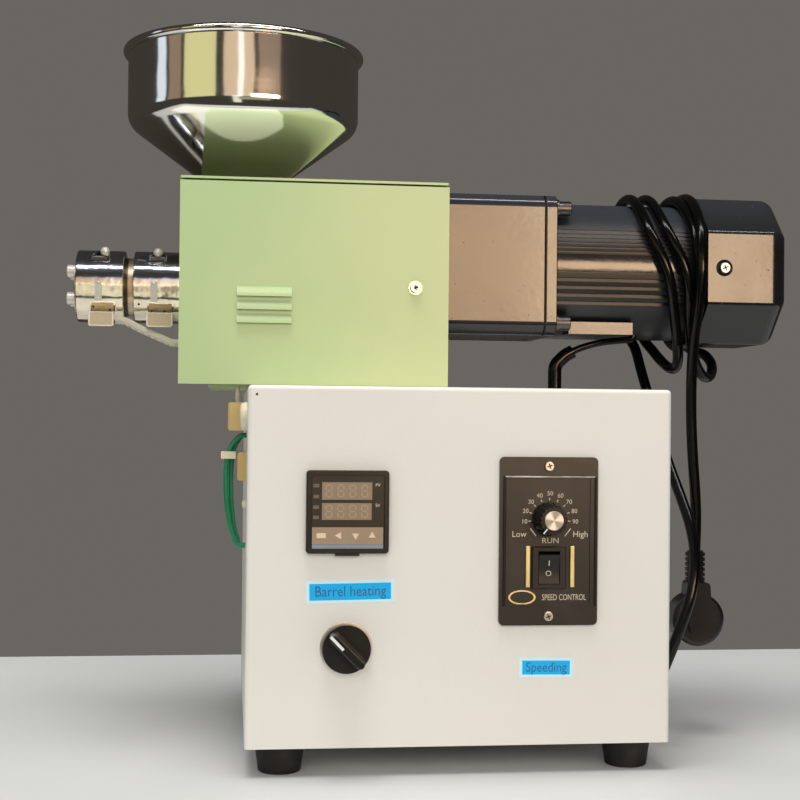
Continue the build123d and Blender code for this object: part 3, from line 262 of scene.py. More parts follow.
class Finish:
    """A material whose Principled shader is filled in by the methods below."""

    def __init__(self, name, **plain):
        self.material = bpy.data.materials.new(name)
        self.material.use_nodes = True
        self.tree = self.material.node_tree
        self.shader = self.tree.nodes["Principled BSDF"]
        for socket, value in plain.items():
            self.set(socket.replace("_", " ").title().replace("Ior", "IOR"), value)

    def fill(self, target, value):
        """Gives an input a number or a colour, or links a Value to it."""
        if isinstance(value, Value):
            self.tree.links.new(value.socket, target)
        elif isinstance(value, tuple) and target.type == "RGBA":
            target.default_value = (*value, 1)
        else:
            target.default_value = value

    def set(self, socket, value):
        """Fills a socket of the shader."""
        self.fill(self.shader.inputs[socket], value)

    def node(self, kind, settings=None, sockets=None, output=0):
        """Adds a node and returns one of its outputs."""
        made = self.tree.nodes.new(kind)
        for name, value in (settings or {}).items():
            setattr(made, name, value)
        for name, value in (sockets or {}).items():
            self.fill(made.inputs[name], value)
        return Value(self, made.outputs[output])

    def where(self, stretch=(1, 1, 1)):
        """The point's place in metres, stretched so that a pattern can be longer one way."""
        spot = self.node("ShaderNodeTexCoord", output="Object")
        return self.node("ShaderNodeMapping", {}, {"Vector": spot, "Scale": stretch})

    def along(self, axis):
        """The point's place along one axis, in metres."""
        spot = self.node("ShaderNodeTexCoord", output="Object")
        return self.node("ShaderNodeSeparateXYZ", {}, {"Vector": spot}, output="XYZ".index(axis))

    def cloud(self, size, detail=2.0, stretch=(1, 1, 1)):
        """Soft noise from 0 to 1, with blots of about this size in metres."""
        return self.node("ShaderNodeTexNoise", {}, {
            "Vector": self.where(stretch), "Scale": 1 / size, "Detail": detail,
        })

    def span(self, value, low, high, to_low=0.0, to_high=1.0):
        """A value's low and high ends moved to two others, and held there outside them."""
        return self.node("ShaderNodeMapRange", {}, {
            "Value": value, "From Min": low, "From Max": high, "To Min": to_low, "To Max": to_high,
        })

    def blend(self, share, first, second):
        """One colour going over to another."""
        return self.node("ShaderNodeMix", {"data_type": "RGBA"}, {
            "Factor": share, 6: first, 7: second,
        }, output=2)

    def bump(self, height, depth):
        """Small relief: a height from 0 to 1 and its depth in metres."""
        self.set("Normal", self.node("ShaderNodeBump", {}, {"Height": height, "Distance": depth}))


print("shader helpers ready")

# %% [markdown]
# A finish goes on a part by taking the place of every material that the part came with. Many small
# parts need only a colour that drifts between two tones, so that has a function of its own.

# %% Dressing a part


def mottled(name, size, detail, first, second, roughness=0.5, uneven=0.0, **plain):
    """A finish that drifts between two tones in soft blots, and may get rougher by `uneven` in them."""
    finish = Finish(name, roughness=roughness, **plain)
    blots = finish.cloud(size, detail)
    finish.set("Base Color", finish.blend(blots, first, second))
    if uneven:
        finish.set("Roughness", roughness + uneven * blots)
    return finish


def dress(finish, *pieces):
    """Puts a finish on parts of the frame, given by name, or on pieces that were made here."""
    for piece in pieces:
        thing = nodes[piece] if isinstance(piece, str) else piece
        thing.data.materials.clear()
        thing.data.materials.append(finish.material)


print("ready to dress", len(nodes), "parts")

# %% [markdown]
# ## Powder coat
# The cabinet is folded sheet steel with an off-white powder coat. Such paint is nearly smooth, with a
# faint orange peel that only shows where a lamp is mirrored, and it yellows and dulls a little unevenly.
# The green guard has the same kind of coat, which is darker and greener towards its left end and lighter
# and yellower towards its right end. Its two tones are even at one place along X.

# %% Powder coats
even_at = -0.09


def powder_coat(name, colour, darker, roughness, right_to_left=0.0):
    """A coat in two tones, which may go over to the darker one from right to left."""
    coat = Finish(name, ior=1.5)
    drift = coat.cloud(0.12, 3.0)
    share = drift - right_to_left * (coat.along("X") - even_at)
    coat.set("Base Color", coat.blend(coat.span(share, 0.3, 0.7), colour, darker))
    speckle = coat.cloud(0.0035, 3.0)
    coat.set("Roughness", roughness - 0.05 + 0.1 * drift + 0.06 * speckle)
    coat.bump(coat.cloud(0.0013, 1.0), 0.00004)
    return coat


cabinet_paint = powder_coat("cabinet_paint", (0.765, 0.74, 0.69), (0.74, 0.71, 0.655), 0.42)
guard_paint = powder_coat("guard_paint", (0.50, 0.58, 0.29), (0.42, 0.55, 0.265), 0.36, right_to_left=3.0)
dress(cabinet_paint, "cabinet_shell", "cabinet_base", "cabinet_rear")
dress(guard_paint, "guard_base", "guard_end_left", "guard_end_right", "guard_front", "guard_back",
      "guard_lid")
print("painted the cabinet and the guard")

# %% [markdown]
# ## Rubber and mouldings
# The feet, the cord and the switches are black, but they don't look alike. Rubber is dull and dusty,
# flex has a soft shine, and the moulded plates have a fine grain that catches light as tiny specks.

# %% Black rubber and plastics
rubber = Finish("foot_rubber", specular_ior_level=0.4)
paler_tone = rubber.cloud(0.01, 5.0)
rubber.set("Base Color", rubber.blend(
    rubber.span(paler_tone, 0.45, 0.8), (0.005, 0.005, 0.005), (0.018, 0.018, 0.018)))
rubber.set("Roughness", 0.6 + 0.2 * paler_tone)
rubber.bump(rubber.cloud(0.0008, 2.0), 0.00006)
dress(rubber, "rubber_feet")

flex_skin = Finish("cord_rubber", base_color=(0.002, 0.002, 0.002), specular_ior_level=0.25)
smear = flex_skin.cloud(0.02, 4.0)
flex_skin.set("Roughness", 0.1 + 0.12 * smear)
flex_skin.bump(flex_skin.cloud(0.006, 2.0), 0.00008)
dress(flex_skin, mains_cord, "motor_lead", "motor_grommet")


def black_moulding(name, colour, roughness, grain=0.0006, depth=0.00003):
    """A moulded plastic with a fine grain, a little paler where it is worn."""
    plastic = Finish(name)
    wear = plastic.cloud(0.03, 4.0)
    lighter = tuple(2.2 * part for part in colour)
    plastic.set("Base Color", plastic.blend(plastic.span(wear, 0.5, 0.85), colour, lighter))
    plastic.set("Roughness", roughness + 0.12 * (wear - 0.5))
    plastic.bump(plastic.cloud(grain, 1.0), depth)
    return plastic


plate_plastic = black_moulding("plate_plastic", (0.014, 0.012, 0.011), 0.36)
controller_plastic = black_moulding("controller_plastic", (0.004, 0.004, 0.004), 0.34)
knob_plastic = black_moulding("knob_plastic", (0.005, 0.005, 0.005), 0.24, grain=0.001, depth=0.00002)
plug_plastic = black_moulding("plug_plastic", (0.004, 0.004, 0.0045), 0.24, grain=0.0008)
rocker_plastic = black_moulding("rocker_plastic", (0.004, 0.004, 0.004), 0.5)
dress(plate_plastic, "speed_plate", "speed_case")
dress(controller_plastic, "controller_case", "controller_bezel", "controller_face")
dress(knob_plastic, "speed_knob", "selector_knob")
dress(rocker_plastic, "rocker_bezel", "rocker")
dress(plug_plastic, "mains_plug", "mains_gland")
print("black finishes done")

# %% [markdown]
# ## Bright metal
# The hopper was spun from stainless sheet and polished. Spinning leaves very fine rings round it, so its
# roughness changes from ring to ring, and its walls are never quite true, which bends the mirror images a
# little. Its colour is darker down its cone, which is painted shade in what the cone mirrors. The bands of
# the heaters are polished too. Their colour is brown below the middle and blue above it, which is a painted
# reflection, the brown one of the warm table below.

# %% Polished steels


def turned_round(finish, centre, axes, spacing):
    """Fine rings about an axis: noise over the distance from it and the height."""
    first = finish.along(axes[0]) - centre[0]
    second = finish.along(axes[1]) - centre[1]
    reach = finish.node("ShaderNodeMath", {"operation": "SQRT"}, {0: first * first + second * second})
    rings = finish.node("ShaderNodeCombineXYZ", {}, {"X": reach, "Y": finish.along("Z")})
    return finish.node("ShaderNodeTexNoise", {}, {"Vector": rings, "Scale": 1 / spacing, "Detail": 3.0})


hopper_low, hopper_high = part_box("hopper")
hopper_axis = ((hopper_low.x + hopper_high.x) / 2, (hopper_low.y + hopper_high.y) / 2)
hopper_steel = Finish("hopper_steel", metallic=1.0)
spun = turned_round(hopper_steel, hopper_axis, "XY", 0.0012)
# Below these heights the colour goes darker: painted shade in what the cone mirrors.
dark_below, bright_above = 0.372, 0.402
out_of_painted_shade = hopper_steel.span(hopper_steel.along("Z"), dark_below, bright_above)
hopper_steel.set("Base Color", hopper_steel.blend(out_of_painted_shade, (0.34, 0.33, 0.27), (0.80, 0.79, 0.76)))
hopper_steel.set("Roughness", 0.07 + 0.06 * spun)
hopper_steel.bump(hopper_steel.cloud(0.035, 1.0) + 0.02 * spun, 0.0006)
dress(hopper_steel, "hopper")

heater_steel = Finish("heater_steel", metallic=1.0)
tint = heater_steel.cloud(0.012, 3.0)
# Brown below the band's middle and blue above it: a painted reflection in the colour.
brown_below, blue_above = 0.2935, 0.297
painted_reflection_split = heater_steel.span(heater_steel.along("Z"), brown_below, blue_above)
patches = heater_steel.span(tint, 0.4, 0.75)
bluish = heater_steel.blend(patches, (0.60, 0.64, 0.75), (0.46, 0.46, 0.50))
brownish = heater_steel.blend(patches, (0.90, 0.83, 0.66), (0.72, 0.63, 0.48))
heater_steel.set("Base Color", heater_steel.blend(painted_reflection_split, brownish, bluish))
heater_steel.set("Roughness", 0.08 + 0.11 * tint)
heater_steel.bump(heater_steel.cloud(0.01, 2.0), 0.0003)
dress(heater_steel, "heater_band_1", "heater_band_2")
print("hopper and heaters polished")

# %% [markdown]
# The screws are plain steel with scuffs. The cap of the speed knob is turned aluminium, and turned metal
# shows bright and dark wedges round its middle. Here the wedges are a painted highlight in the cap's
# colour, which the sine of the angle round the cap gives.

# %% Screws and the knob's cap
screw_steel = Finish("screw_steel", base_color=(0.60, 0.59, 0.57), metallic=1.0)
scuff = screw_steel.cloud(0.002, 4.0)
screw_steel.set("Roughness", 0.22 + 0.2 * scuff)
screw_steel.bump(scuff, 0.00003)
dress(screw_steel, "selector_collar", "speed_screws", "guard_screws", "fan_screws")

bright_steel = mottled("bright_steel", 0.0015, 3.0, (0.80, 0.78, 0.72), (0.60, 0.57, 0.52),
                       roughness=0.24, uneven=0.2, metallic=0.55, specular_ior_level=0.8)
dress(bright_steel, "die_bolts")

cap_metal = Finish("cap_metal", metallic=0.7)
knob_low, knob_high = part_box("speed_knob")
knob_centre = ((knob_low.x + knob_high.x) / 2, (knob_low.z + knob_high.z) / 2)
turning = turned_round(cap_metal, knob_centre, "XZ", 0.0004)
around_cap = cap_metal.node("ShaderNodeMath", {"operation": "ARCTAN2"}, {
    0: cap_metal.along("Z") - knob_centre[1], 1: cap_metal.along("X") - knob_centre[0],
})
# Painted highlight: bright and dark wedges round the cap, put into its colour.
painted_sheen = cap_metal.node("ShaderNodeMath", {"operation": "SINE"}, {0: 3 * around_cap + 0.6})
cap_metal.set("Base Color", cap_metal.blend(
    cap_metal.span(painted_sheen, -0.6, 0.8), (0.34, 0.32, 0.29), (0.86, 0.83, 0.77)))
cap_metal.set("Roughness", 0.35 + 0.3 * turning)
dress(cap_metal, "speed_knob_cap")
print("screws and cap done")

# %% [markdown]
# The barrel and its end have run hot and gone straw yellow. Beside the first band, in the gap to the
# second, the barrel's colour is dark: painted shade between the bands.

# %% Barrel and bolts
block_steel = Finish("block_steel", base_color=(0.42, 0.41, 0.40), metallic=1.0)
mill = block_steel.cloud(0.004, 3.0, stretch=(1, 6, 1))
block_steel.set("Roughness", 0.3 + 0.2 * mill)
dress(block_steel, "feed_block", "feed_screw")

barrel_steel = Finish("barrel_steel", metallic=1.0)
soot = barrel_steel.cloud(0.008, 4.0)
straw = barrel_steel.blend(barrel_steel.span(soot, 0.35, 0.7), (0.76, 0.60, 0.42), (0.42, 0.34, 0.24))
# Painted shade: a dark ring in the barrel's colour in the gap between the bands.
painted_shade_at = place(-79.2, 0, 0).x
outside_painted_shade = barrel_steel.span(abs(barrel_steel.along("X") - painted_shade_at), 0.0014, 0.0024)
barrel_steel.set("Base Color", barrel_steel.blend(outside_painted_shade, (0.08, 0.06, 0.045), straw))
barrel_steel.set("Roughness", 0.3 + 0.2 * soot)
dress(barrel_steel, "barrel", "die_head", "nozzle")

bolt_steel = mottled("bolt_steel", 0.003, 3.0, (0.16, 0.155, 0.15), (0.07, 0.07, 0.072),
                     roughness=0.28, uneven=0.2, metallic=1.0)
dress(bolt_steel, "heater_clamps", "flange_bolts")
print("metals done")

# %% [markdown]
# ## Enamel on the gearmotor
# The gearbox, the motor and the fan's cover are enamelled in a glossy blue-black. Almost all of its colour
# is what it mirrors: a warm lit wall where it faces the front, next to nothing elsewhere. It has picked up
# a haze, and tiny specks lie all over, which a high threshold on fine noise gives. Its colour is painted
# paler and bluer towards its top, a painted reflection of the room above. Where the flange meets the
# gearbox the joint is a dark line. The motor's ridges are as cast and rougher than the band along its
# middle, so only the band is a mirror.

# %% Gearmotor enamel
flange_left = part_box("motor_flange")[0].x


def enamel(name, colour, paler_tone, roughness, ridges=False):
    """A glossy coat with specks, a painted reflection towards its top and the dark joint; `ridges` dulls
    all but the motor's band.
    """
    coat = Finish(name, specular_ior_level=0.6)
    haze = coat.cloud(0.02, 4.0)
    specks = coat.span(coat.cloud(0.0028, 3.0), 0.70, 0.76)
    joint = coat.span(abs(coat.along("X") - flange_left), 0.0006, 0.0011)
    tone = coat.blend(coat.cloud(0.06, 2.0), colour, tuple(0.8 * part for part in colour))
    # Painted reflection: the colour goes over to a paler, bluer tone towards the top.
    towards_top = coat.span(coat.along("Z"), motor_axis.z + 0.012, motor_axis.z + 0.046)
    painted_top_reflection = coat.blend(towards_top, tone, paler_tone)
    specks_on_painted_top = coat.blend(specks, painted_top_reflection, (0.05, 0.048, 0.045))
    coat.set("Base Color", coat.blend(joint, (0.002, 0.002, 0.002), specks_on_painted_top))
    dulled = roughness + 0.08 * haze + 0.3 * specks + 0.5 * (1 - joint)
    if ridges:
        off_band = abs(coat.along("Z") - motor_axis.z - 0.0015)
        dulled = dulled + 0.26 * coat.span(off_band, 0.0055, 0.0065)
    coat.set("Roughness", dulled)
    coat.bump(coat.cloud(0.004, 3.0), 0.00005)
    return coat


gear_paint = enamel("gear_paint", (0.012, 0.013, 0.016), (0.028, 0.031, 0.040), 0.11)
motor_paint = enamel("motor_paint", (0.008, 0.009, 0.011), (0.028, 0.032, 0.042), 0.11, ridges=True)
fan_paint = enamel("fan_paint", (0.008, 0.009, 0.010), (0.022, 0.024, 0.028), 0.14)
dress(gear_paint, "gearbox", "motor_flange", "motor_pad")
dress(motor_paint, "motor_body")
dress(fan_paint, "fan_cover")
print("enamel done")

# %% [markdown]
# ## Ceramic, glass-fibre sleeve, cream and green plastics
# Small pale things need a grain each, because a flat colour would look like paper beside the metal.

# %% Pale small parts
ceramic = Finish("terminal_ceramic", roughness=0.8)
grit = ceramic.cloud(0.0012, 4.0)
ceramic.set("Base Color", ceramic.blend(grit, (0.52, 0.43, 0.29), (0.43, 0.34, 0.22)))
ceramic.bump(grit, 0.0002)
dress(ceramic, "heater_terminals")

sleeve = Finish("sleeve_white", roughness=0.75)
braid = sleeve.node("ShaderNodeTexWave", {"wave_type": "BANDS", "bands_direction": "DIAGONAL"}, {
    "Vector": sleeve.where(), "Scale": 420.0, "Distortion": 1.5,
})
sleeve.set("Base Color", sleeve.blend(braid, (0.62, 0.58, 0.47), (0.42, 0.385, 0.29)))
sleeve.bump(braid, 0.0002)
dress(sleeve, "heater_leads")

cream = mottled("block_plastic", 0.01, 3.0, (0.54, 0.39, 0.155), (0.45, 0.32, 0.115), roughness=0.4)
cream.bump(cream.cloud(0.001, 1.0), 0.00004)
dress(cream, "terminal_blocks")

plug_white = mottled("plug_white", 0.006, 2.0, (0.74, 0.68, 0.50), (0.66, 0.60, 0.43), roughness=0.3)
dress(plug_white, "side_plugs", "wire_tie")

wire_green = mottled("wire_green", 0.01, 2.0, (0.016, 0.24, 0.11), (0.010, 0.16, 0.07), roughness=0.2)
dress(wire_green, "green_wires")
print("pale finishes done")

# %% [markdown]
# ## Small pieces on the machine
# The solid model stops at the pieces that matter for size and motion. The eye also wants the dial's
# numbers, the displays, the screws' slots and the rivets. Four helpers are enough for them: one puts a
# box at a place in millimetres, one a round disc, one finds the spot where a part's surface faces the
# front, and one turns the finished shape into a piece that rides with the machine or a moving body.

# %% Helpers for small pieces
to_front = Matrix.Rotation(radians(90), 4, "X")


def block(work, left, right, front, back, low, high, rounding=0.0):
    """A box between two places in millimetres, with rounded edges if wanted."""
    corners = bmesh.ops.create_cube(work, size=1)["verts"]
    near, far = place(left, front, low), place(right, back, high)
    bmesh.ops.scale(work, vec=far - near, verts=corners)
    bmesh.ops.translate(work, vec=(near + far) / 2, verts=corners)
    if rounding:
        edges = list({edge for corner in corners for edge in corner.link_edges})
        bmesh.ops.bevel(work, geom=edges, offset=rounding / 1000, affect="EDGES", segments=3,
                        profile=0.5, material=-1)


def disc(work, from_left, behind, above, radius, thickness):
    """A round disc that faces the front, with its back at the given place."""
    middle = place(from_left, behind - thickness / 2, above)
    bmesh.ops.create_cone(
        work, cap_ends=True, segments=32, radius1=radius / 1000, radius2=radius / 1000,
        depth=thickness / 1000, matrix=Matrix.Translation(middle) @ to_front)


def facing_spot(part, from_left, above):
    """The frame of a part's surface where it faces the front: Z off the surface, Y up."""
    start = place(from_left, -200, above)
    spot, normal = nodes[part].ray_cast(start, Vector((0, 1, 0)))[1:3]
    sideways = Vector((0, 0, 1)).cross(normal).normalized()
    upright = normal.cross(sideways)
    turned = Matrix((sideways, upright, normal)).transposed().to_4x4()
    return Matrix.Translation(spot) @ turned


def piece_of(work, name, finish, body="machine"):
    """Closes a bmesh, gives it its finish and hangs it on a body."""
    bmesh.ops.remove_doubles(work, verts=work.verts, dist=0.000001)
    bmesh.ops.recalc_face_normals(work, faces=work.faces)
    mesh = bpy.data.meshes.new(name)
    work.to_mesh(mesh)
    work.free()
    made = bpy.data.objects.new(name, mesh)
    scene.collection.objects.link(made)
    dress(finish, made)
    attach(made, body)
    print(name, "faces", len(mesh.polygons))
    return made


print("helpers ready")

# %% [markdown]
# Lettering starts as a text curve, because a font is already a drawing. It is turned into a thin mesh at
# once, moved to its spot and added to the piece in hand, so that all the words of a panel are one piece.

# %% Lettering


def letters(work, words, spot, size, thickness=0.06, stretch=1.0):
    """Thin raised words centred on a spot, which is a frame as facing_spot gives it."""
    curve = bpy.data.curves.new("words", "FONT")
    curve.body = words
    curve.size = size / 1000
    curve.align_x = "CENTER"
    curve.align_y = "CENTER"
    curve.extrude = thickness / 1000
    curve.resolution_u = 3
    holder = bpy.data.objects.new("words", curve)
    mesh = bpy.data.meshes.new_from_object(holder)
    mesh.transform(spot @ Matrix.Diagonal((stretch, 1, 1, 1)))
    work.from_mesh(mesh)
    bpy.data.meshes.remove(mesh)
    bpy.data.objects.remove(holder)
    bpy.data.curves.remove(curve)


def stroke(work, spot, length, width, turned, thickness=0.12):
    """A thin bar on a spot, turned by degrees."""
    bar = spot @ Matrix.Rotation(radians(turned), 4, "Z")
    size = Matrix.Diagonal((length / 1000, width / 1000, 2 * thickness / 1000, 1))
    bmesh.ops.create_cube(work, size=1, matrix=bar @ size)


def cross_slot(work, part, from_left, above, reach):
    """The dark cross in a screw's head: painted shade for its recess."""
    spot = facing_spot(part, from_left, above)
    stroke(work, spot, 2 * reach, 0.45 * reach, 20)
    stroke(work, spot, 2 * reach, 0.45 * reach, 110)


print("lettering ready")

# %% [markdown]
# ## The temperature controller
# Its face is a dark window sheet over two rows of unlit digits, with four round-cornered marks at the
# left, and below it a tan strip of four keys and a thin grey-blue strip. Unlit digits are still faintly
# visible as figures of eight, so each one is drawn with its seven bars.

# %% Controller's finishes
smoked = mottled("smoked_window", 0.012, 4.0, (0.040, 0.031, 0.020), (0.026, 0.020, 0.014),
                 roughness=0.12, uneven=0.15, specular_ior_level=0.6)
display = mottled("display_window", 0.006, 2.0, (0.30, 0.205, 0.13), (0.24, 0.185, 0.12),
                  roughness=0.25, uneven=0.1)
bars = mottled("display_bars", 0.008, 2.0, (0.42, 0.32, 0.22), (0.34, 0.26, 0.18), roughness=0.3)
key_tan = mottled("key_strip", 0.01, 3.0, (0.35, 0.245, 0.16), (0.30, 0.21, 0.135), roughness=0.4)
key_pale = mottled("key_marks", 0.003, 3.0, (0.80, 0.60, 0.42), (0.70, 0.51, 0.35), roughness=0.45)
lamp_tan = mottled("lamp_marks", 0.002, 3.0, (0.17, 0.125, 0.085), (0.10, 0.075, 0.05), roughness=0.4)
strip_blue = mottled("low_strip", 0.01, 2.0, (0.235, 0.275, 0.33), (0.20, 0.235, 0.275), roughness=0.35)
print("controller finishes done")

# %% Controller's face
face_front = -4.4
sheet_front = face_front - 0.15
strip_front = face_front - 0.2
window_front = face_front - 0.25
digit_front = face_front - 0.32
face_left, face_right = 37.4, 78.6
sheet = bmesh.new()
block(sheet, face_left, face_right, sheet_front, face_front, 145.3, 174.8)
piece_of(sheet, "controller_sheet", smoked)

windows = bmesh.new()
block(windows, 43.0, 72.0, window_front, sheet_front, 161.1, 171.2)
block(windows, 43.0, 71.8, window_front, sheet_front, 149.5, 159.2)
piece_of(windows, "controller_windows", display)

keys = bmesh.new()
block(keys, face_left, face_right, strip_front, face_front, 135.4, 145.2)
piece_of(keys, "controller_key_strip", key_tan)

below_keys = bmesh.new()
block(below_keys, face_left, face_right, strip_front, face_front, 132.9, 135.3)
piece_of(below_keys, "controller_low_strip", strip_blue)

# %% Digits


def digit(work, middle, above, width, height, bar):
    """A figure of eight out of seven bars."""
    front, back = digit_front, window_front
    for level in (-1, 0, 1):
        z = above + level * (height - bar) / 2
        block(work, middle - width / 2 + bar, middle + width / 2 - bar, front, back,
              z - bar / 2, z + bar / 2)
    for side in (-1, 1):
        x = middle + side * (width - bar) / 2
        for half in (-1, 1):
            z = above + half * height / 4
            block(work, x - bar / 2, x + bar / 2, front, back, z - height / 4 + bar, z + height / 4 - bar)


eights = bmesh.new()
for column in range(4):
    middle = 47.0 + 6.9 * column
    digit(eights, middle, 166.2, 4.0, 7.4, 0.75)
    digit(eights, middle, 154.4, 4.2, 7.6, 0.8)
piece_of(eights, "controller_digits", bars)

# %% Marks and keys on the controller
small_marks = bmesh.new()
for above in (169.2, 162.9, 156.8, 150.9):
    block(small_marks, 37.9, 41.3, sheet_front - 0.08, sheet_front, above - 1.0, above + 1.0, rounding=0.03)
piece_of(small_marks, "controller_lamps", lamp_tan)

arrows = bmesh.new()
for from_left, turned in ((53.0, 0), (62.6, 90), (72.2, 270)):
    middle = place(from_left, strip_front - 0.1, 140.4)
    upright = to_front @ Matrix.Rotation(radians(90 + turned), 4, "Z")
    bmesh.ops.create_cone(arrows, cap_ends=True, segments=3, radius1=0.0024, radius2=0.0024, depth=0.0002,
                          matrix=Matrix.Translation(middle) @ upright)
block(arrows, 40.0, 45.4, strip_front - 0.2, strip_front, 138.9, 141.8, rounding=0.08)
for words, above in (("PV", 169.6), ("SV", 157.8)):
    beside = Matrix.Translation(place(75.3, sheet_front, above)) @ to_front
    letters(arrows, words, beside, 2.6)
piece_of(arrows, "controller_keys", key_pale)

# %% [markdown]
# ## The speed control
# The plate carries printed numbers round the knob, the words for slow, fast and run, two gold bars
# beside the rocker switch and an oval gold ring at the lower left. Print is modelled as very thin
# raised letters, because then it also shows in the exported shape.

# %% Print and gold
print_white = mottled("print_white", 0.002, 3.0, (0.74, 0.64, 0.48), (0.52, 0.43, 0.30))

gold = Finish("gold_trim", metallic=0.7)
gold_wear = gold.cloud(0.004, 4.0, stretch=(1, 1, 0.3))
gold.set("Base Color", gold.blend(gold_wear, (0.98, 0.88, 0.46), (0.50, 0.40, 0.15)))
gold.set("Roughness", 0.3 + 0.2 * gold_wear)

gloss_black = Finish("gloss_black", base_color=(0.010, 0.009, 0.009), roughness=0.18)

dial_left = (knob_centre[0] - cabinet_low.x) * 1000
dial_above = knob_centre[1] * 1000
print("dial centre", round(dial_left, 1), round(dial_above, 1))

# %% Dial


def round_dial(degrees_round, shift, across, up):
    """A spot of the plate on an oval round the dial, which may be shifted to the right."""
    turn = radians(degrees_round)
    return facing_spot("speed_plate", dial_left + shift + across * cos(turn), dial_above + up * sin(turn))


dial_print = bmesh.new()
for step in range(9):
    heading_round = 186 - 24 * step
    letters(dial_print, str(10 * (step + 1)), round_dial(heading_round, 0.6, 15.4, 15.0), 3.7)
    tick = round_dial(heading_round, 0.3, 11.9, 11.7)
    stroke(dial_print, tick, 1.5, 0.5, heading_round, thickness=0.06)
for from_left, turned in ((167.6, -52), (188.4, 52)):
    dial_end = facing_spot("speed_plate", from_left, 142.2)
    stroke(dial_print, dial_end, 5.6, 0.55, turned, thickness=0.06)
letters(dial_print, "Low", facing_spot("speed_plate", 159.2, 141.0), 5.0)
letters(dial_print, "High", facing_spot("speed_plate", 196.0, 141.0), 5.0)
letters(dial_print, "RUN", facing_spot("speed_plate", 178.0, 137.2), 4.6, stretch=1.1)
letters(dial_print, "SPEED CONTROL", facing_spot("speed_plate", 186.4, 103.8), 5.0,
        thickness=0.07, stretch=0.68)
piece_of(dial_print, "dial_print", print_white)

# %% [markdown]
# The ring starts as a circle squashed to an oval. Its edge is extruded and drawn inwards to a flat rim,
# which is raised off the plate.

# %% Gold bars and ring
trim = bmesh.new()
for left in (163.1, 189.7):
    block(trim, left, left + 2.6, -3.9, -3.0, 110.0, 134.3, rounding=0.4)
squash = 0.52
ring_spot = facing_spot("speed_plate", 161.2, 104.0) @ Matrix.Diagonal((1, squash, 1, 1))
outer = bmesh.ops.create_circle(trim, segments=48, radius=0.0082, matrix=ring_spot)["verts"]
ring_edges = list({edge for corner in outer for edge in corner.link_edges})
inward = bmesh.ops.extrude_edge_only(trim, edges=ring_edges)["geom"]
inner = [part for part in inward if isinstance(part, bmesh.types.BMVert)]
centre = ring_spot.translation
bmesh.ops.scale(trim, vec=(0.86, 1, 0.80), space=Matrix.Translation(-centre), verts=inner)
rim_faces = list({face for corner in inner for face in corner.link_faces})
raised = bmesh.ops.extrude_face_region(trim, geom=rim_faces)["geom"]
lifted = [part for part in raised if isinstance(part, bmesh.types.BMVert)]
bmesh.ops.translate(trim, vec=(0, -0.0002, 0), verts=lifted)
piece_of(trim, "plate_trim", gold)

# %% Ridge on the plate
# The ridge's pale line is a painted highlight along the plate's raised top edge, broken by stretched noise.
painted_highlight_edge = Finish("painted_highlight_edge", roughness=0.35)
painted_highlight_share = painted_highlight_edge.span(painted_highlight_edge.cloud(0.012, 3.0, stretch=(1, 1, 4)), 0.35, 0.65)
painted_highlight_edge.set("Base Color", painted_highlight_edge.blend(painted_highlight_share, (0.16, 0.14, 0.12), (0.62, 0.57, 0.50)))
ridge = bmesh.new()
block(ridge, 150.6, 204.6, -3.9, -2.9, 174.4, 175.3, rounding=0.3)
piece_of(ridge, "plate_ridge", painted_highlight_edge)
# Dark lines along the plate's two sides are painted shade beside its raised edges.
shade_lines = bmesh.new()
block(shade_lines, 149.7, 150.6, -3.6, -2.9, 98.8, 175.3, rounding=0.2)
block(shade_lines, 204.6, 205.7, -3.6, -2.9, 98.8, 175.3, rounding=0.2)
piece_of(shade_lines, "plate_sides", gloss_black)

# %% [markdown]
# The switch and the knobs move, so their marks have to ride with them and not with the machine.

# %% Marks that move
rocker_marks = bmesh.new()
letters(rocker_marks, "I", facing_spot("rocker", 176.9, 124.4), 6.0)
letters(rocker_marks, "O", facing_spot("rocker", 176.7, 118.0), 4.6)
piece_of(rocker_marks, "rocker_marks", print_white, body="rocker_switch")

pointer_white = mottled("pointer_white", 0.004, 2.0, (0.86, 0.85, 0.80), (0.72, 0.70, 0.64), roughness=0.4)
dial_line = bmesh.new()
line_spot = facing_spot("speed_knob", dial_left - 5.0, dial_above - 6.2)
stroke(dial_line, line_spot, 3.6, 0.7, 50, thickness=0.1)
piece_of(dial_line, "dial_line", pointer_white, body="speed_dial")

selector_line = bmesh.new()
selector_spot = facing_spot("selector_knob", 51.6, 80.4)
stroke(selector_line, selector_spot, 10.5, 1.6, -46, thickness=0.15)
piece_of(selector_line, "selector_line", pointer_white, body="selector")

# %% [markdown]
# ## Labels
# Two blue paper labels are stuck on the panel. Their edges are pale, because the paper is a little wider
# than its print.

# %% Labels
label_edge = Finish("label_edge", base_color=(0.60, 0.86, 0.95), roughness=0.7)
label_blue = mottled("label_blue", 0.02, 4.0, (0.004, 0.47, 0.90), (0.012, 0.42, 0.82),
                     roughness=0.7, specular_ior_level=0.2)
label_ink = Finish("label_ink", base_color=(0.02, 0.10, 0.26), roughness=0.6)
label_places = (
    (60.3, 107.6, 49.6, 11.6, "Barrel heating", 8.6, -1.0),
    (176.6, 62.3, 30.6, 10.2, "Speeding", 8.0, 0.6),
)
paper = bmesh.new()
tint_sheet = bmesh.new()
ink = bmesh.new()
for from_left, above, wide, high, words, size, lean in label_places:
    spot = facing_spot("cabinet_shell", from_left, above)
    stroke(paper, spot, wide + 1.4, high + 1.4, -lean, thickness=0.10)
    stroke(tint_sheet, spot, wide - 2.0, high - 2.0, -lean, thickness=0.14)
    leaning = spot @ Matrix.Translation((0, 0, 0.00014)) @ Matrix.Rotation(radians(-lean), 4, "Z")
    letters(ink, words, leaning, size, thickness=0.03, stretch=0.86)
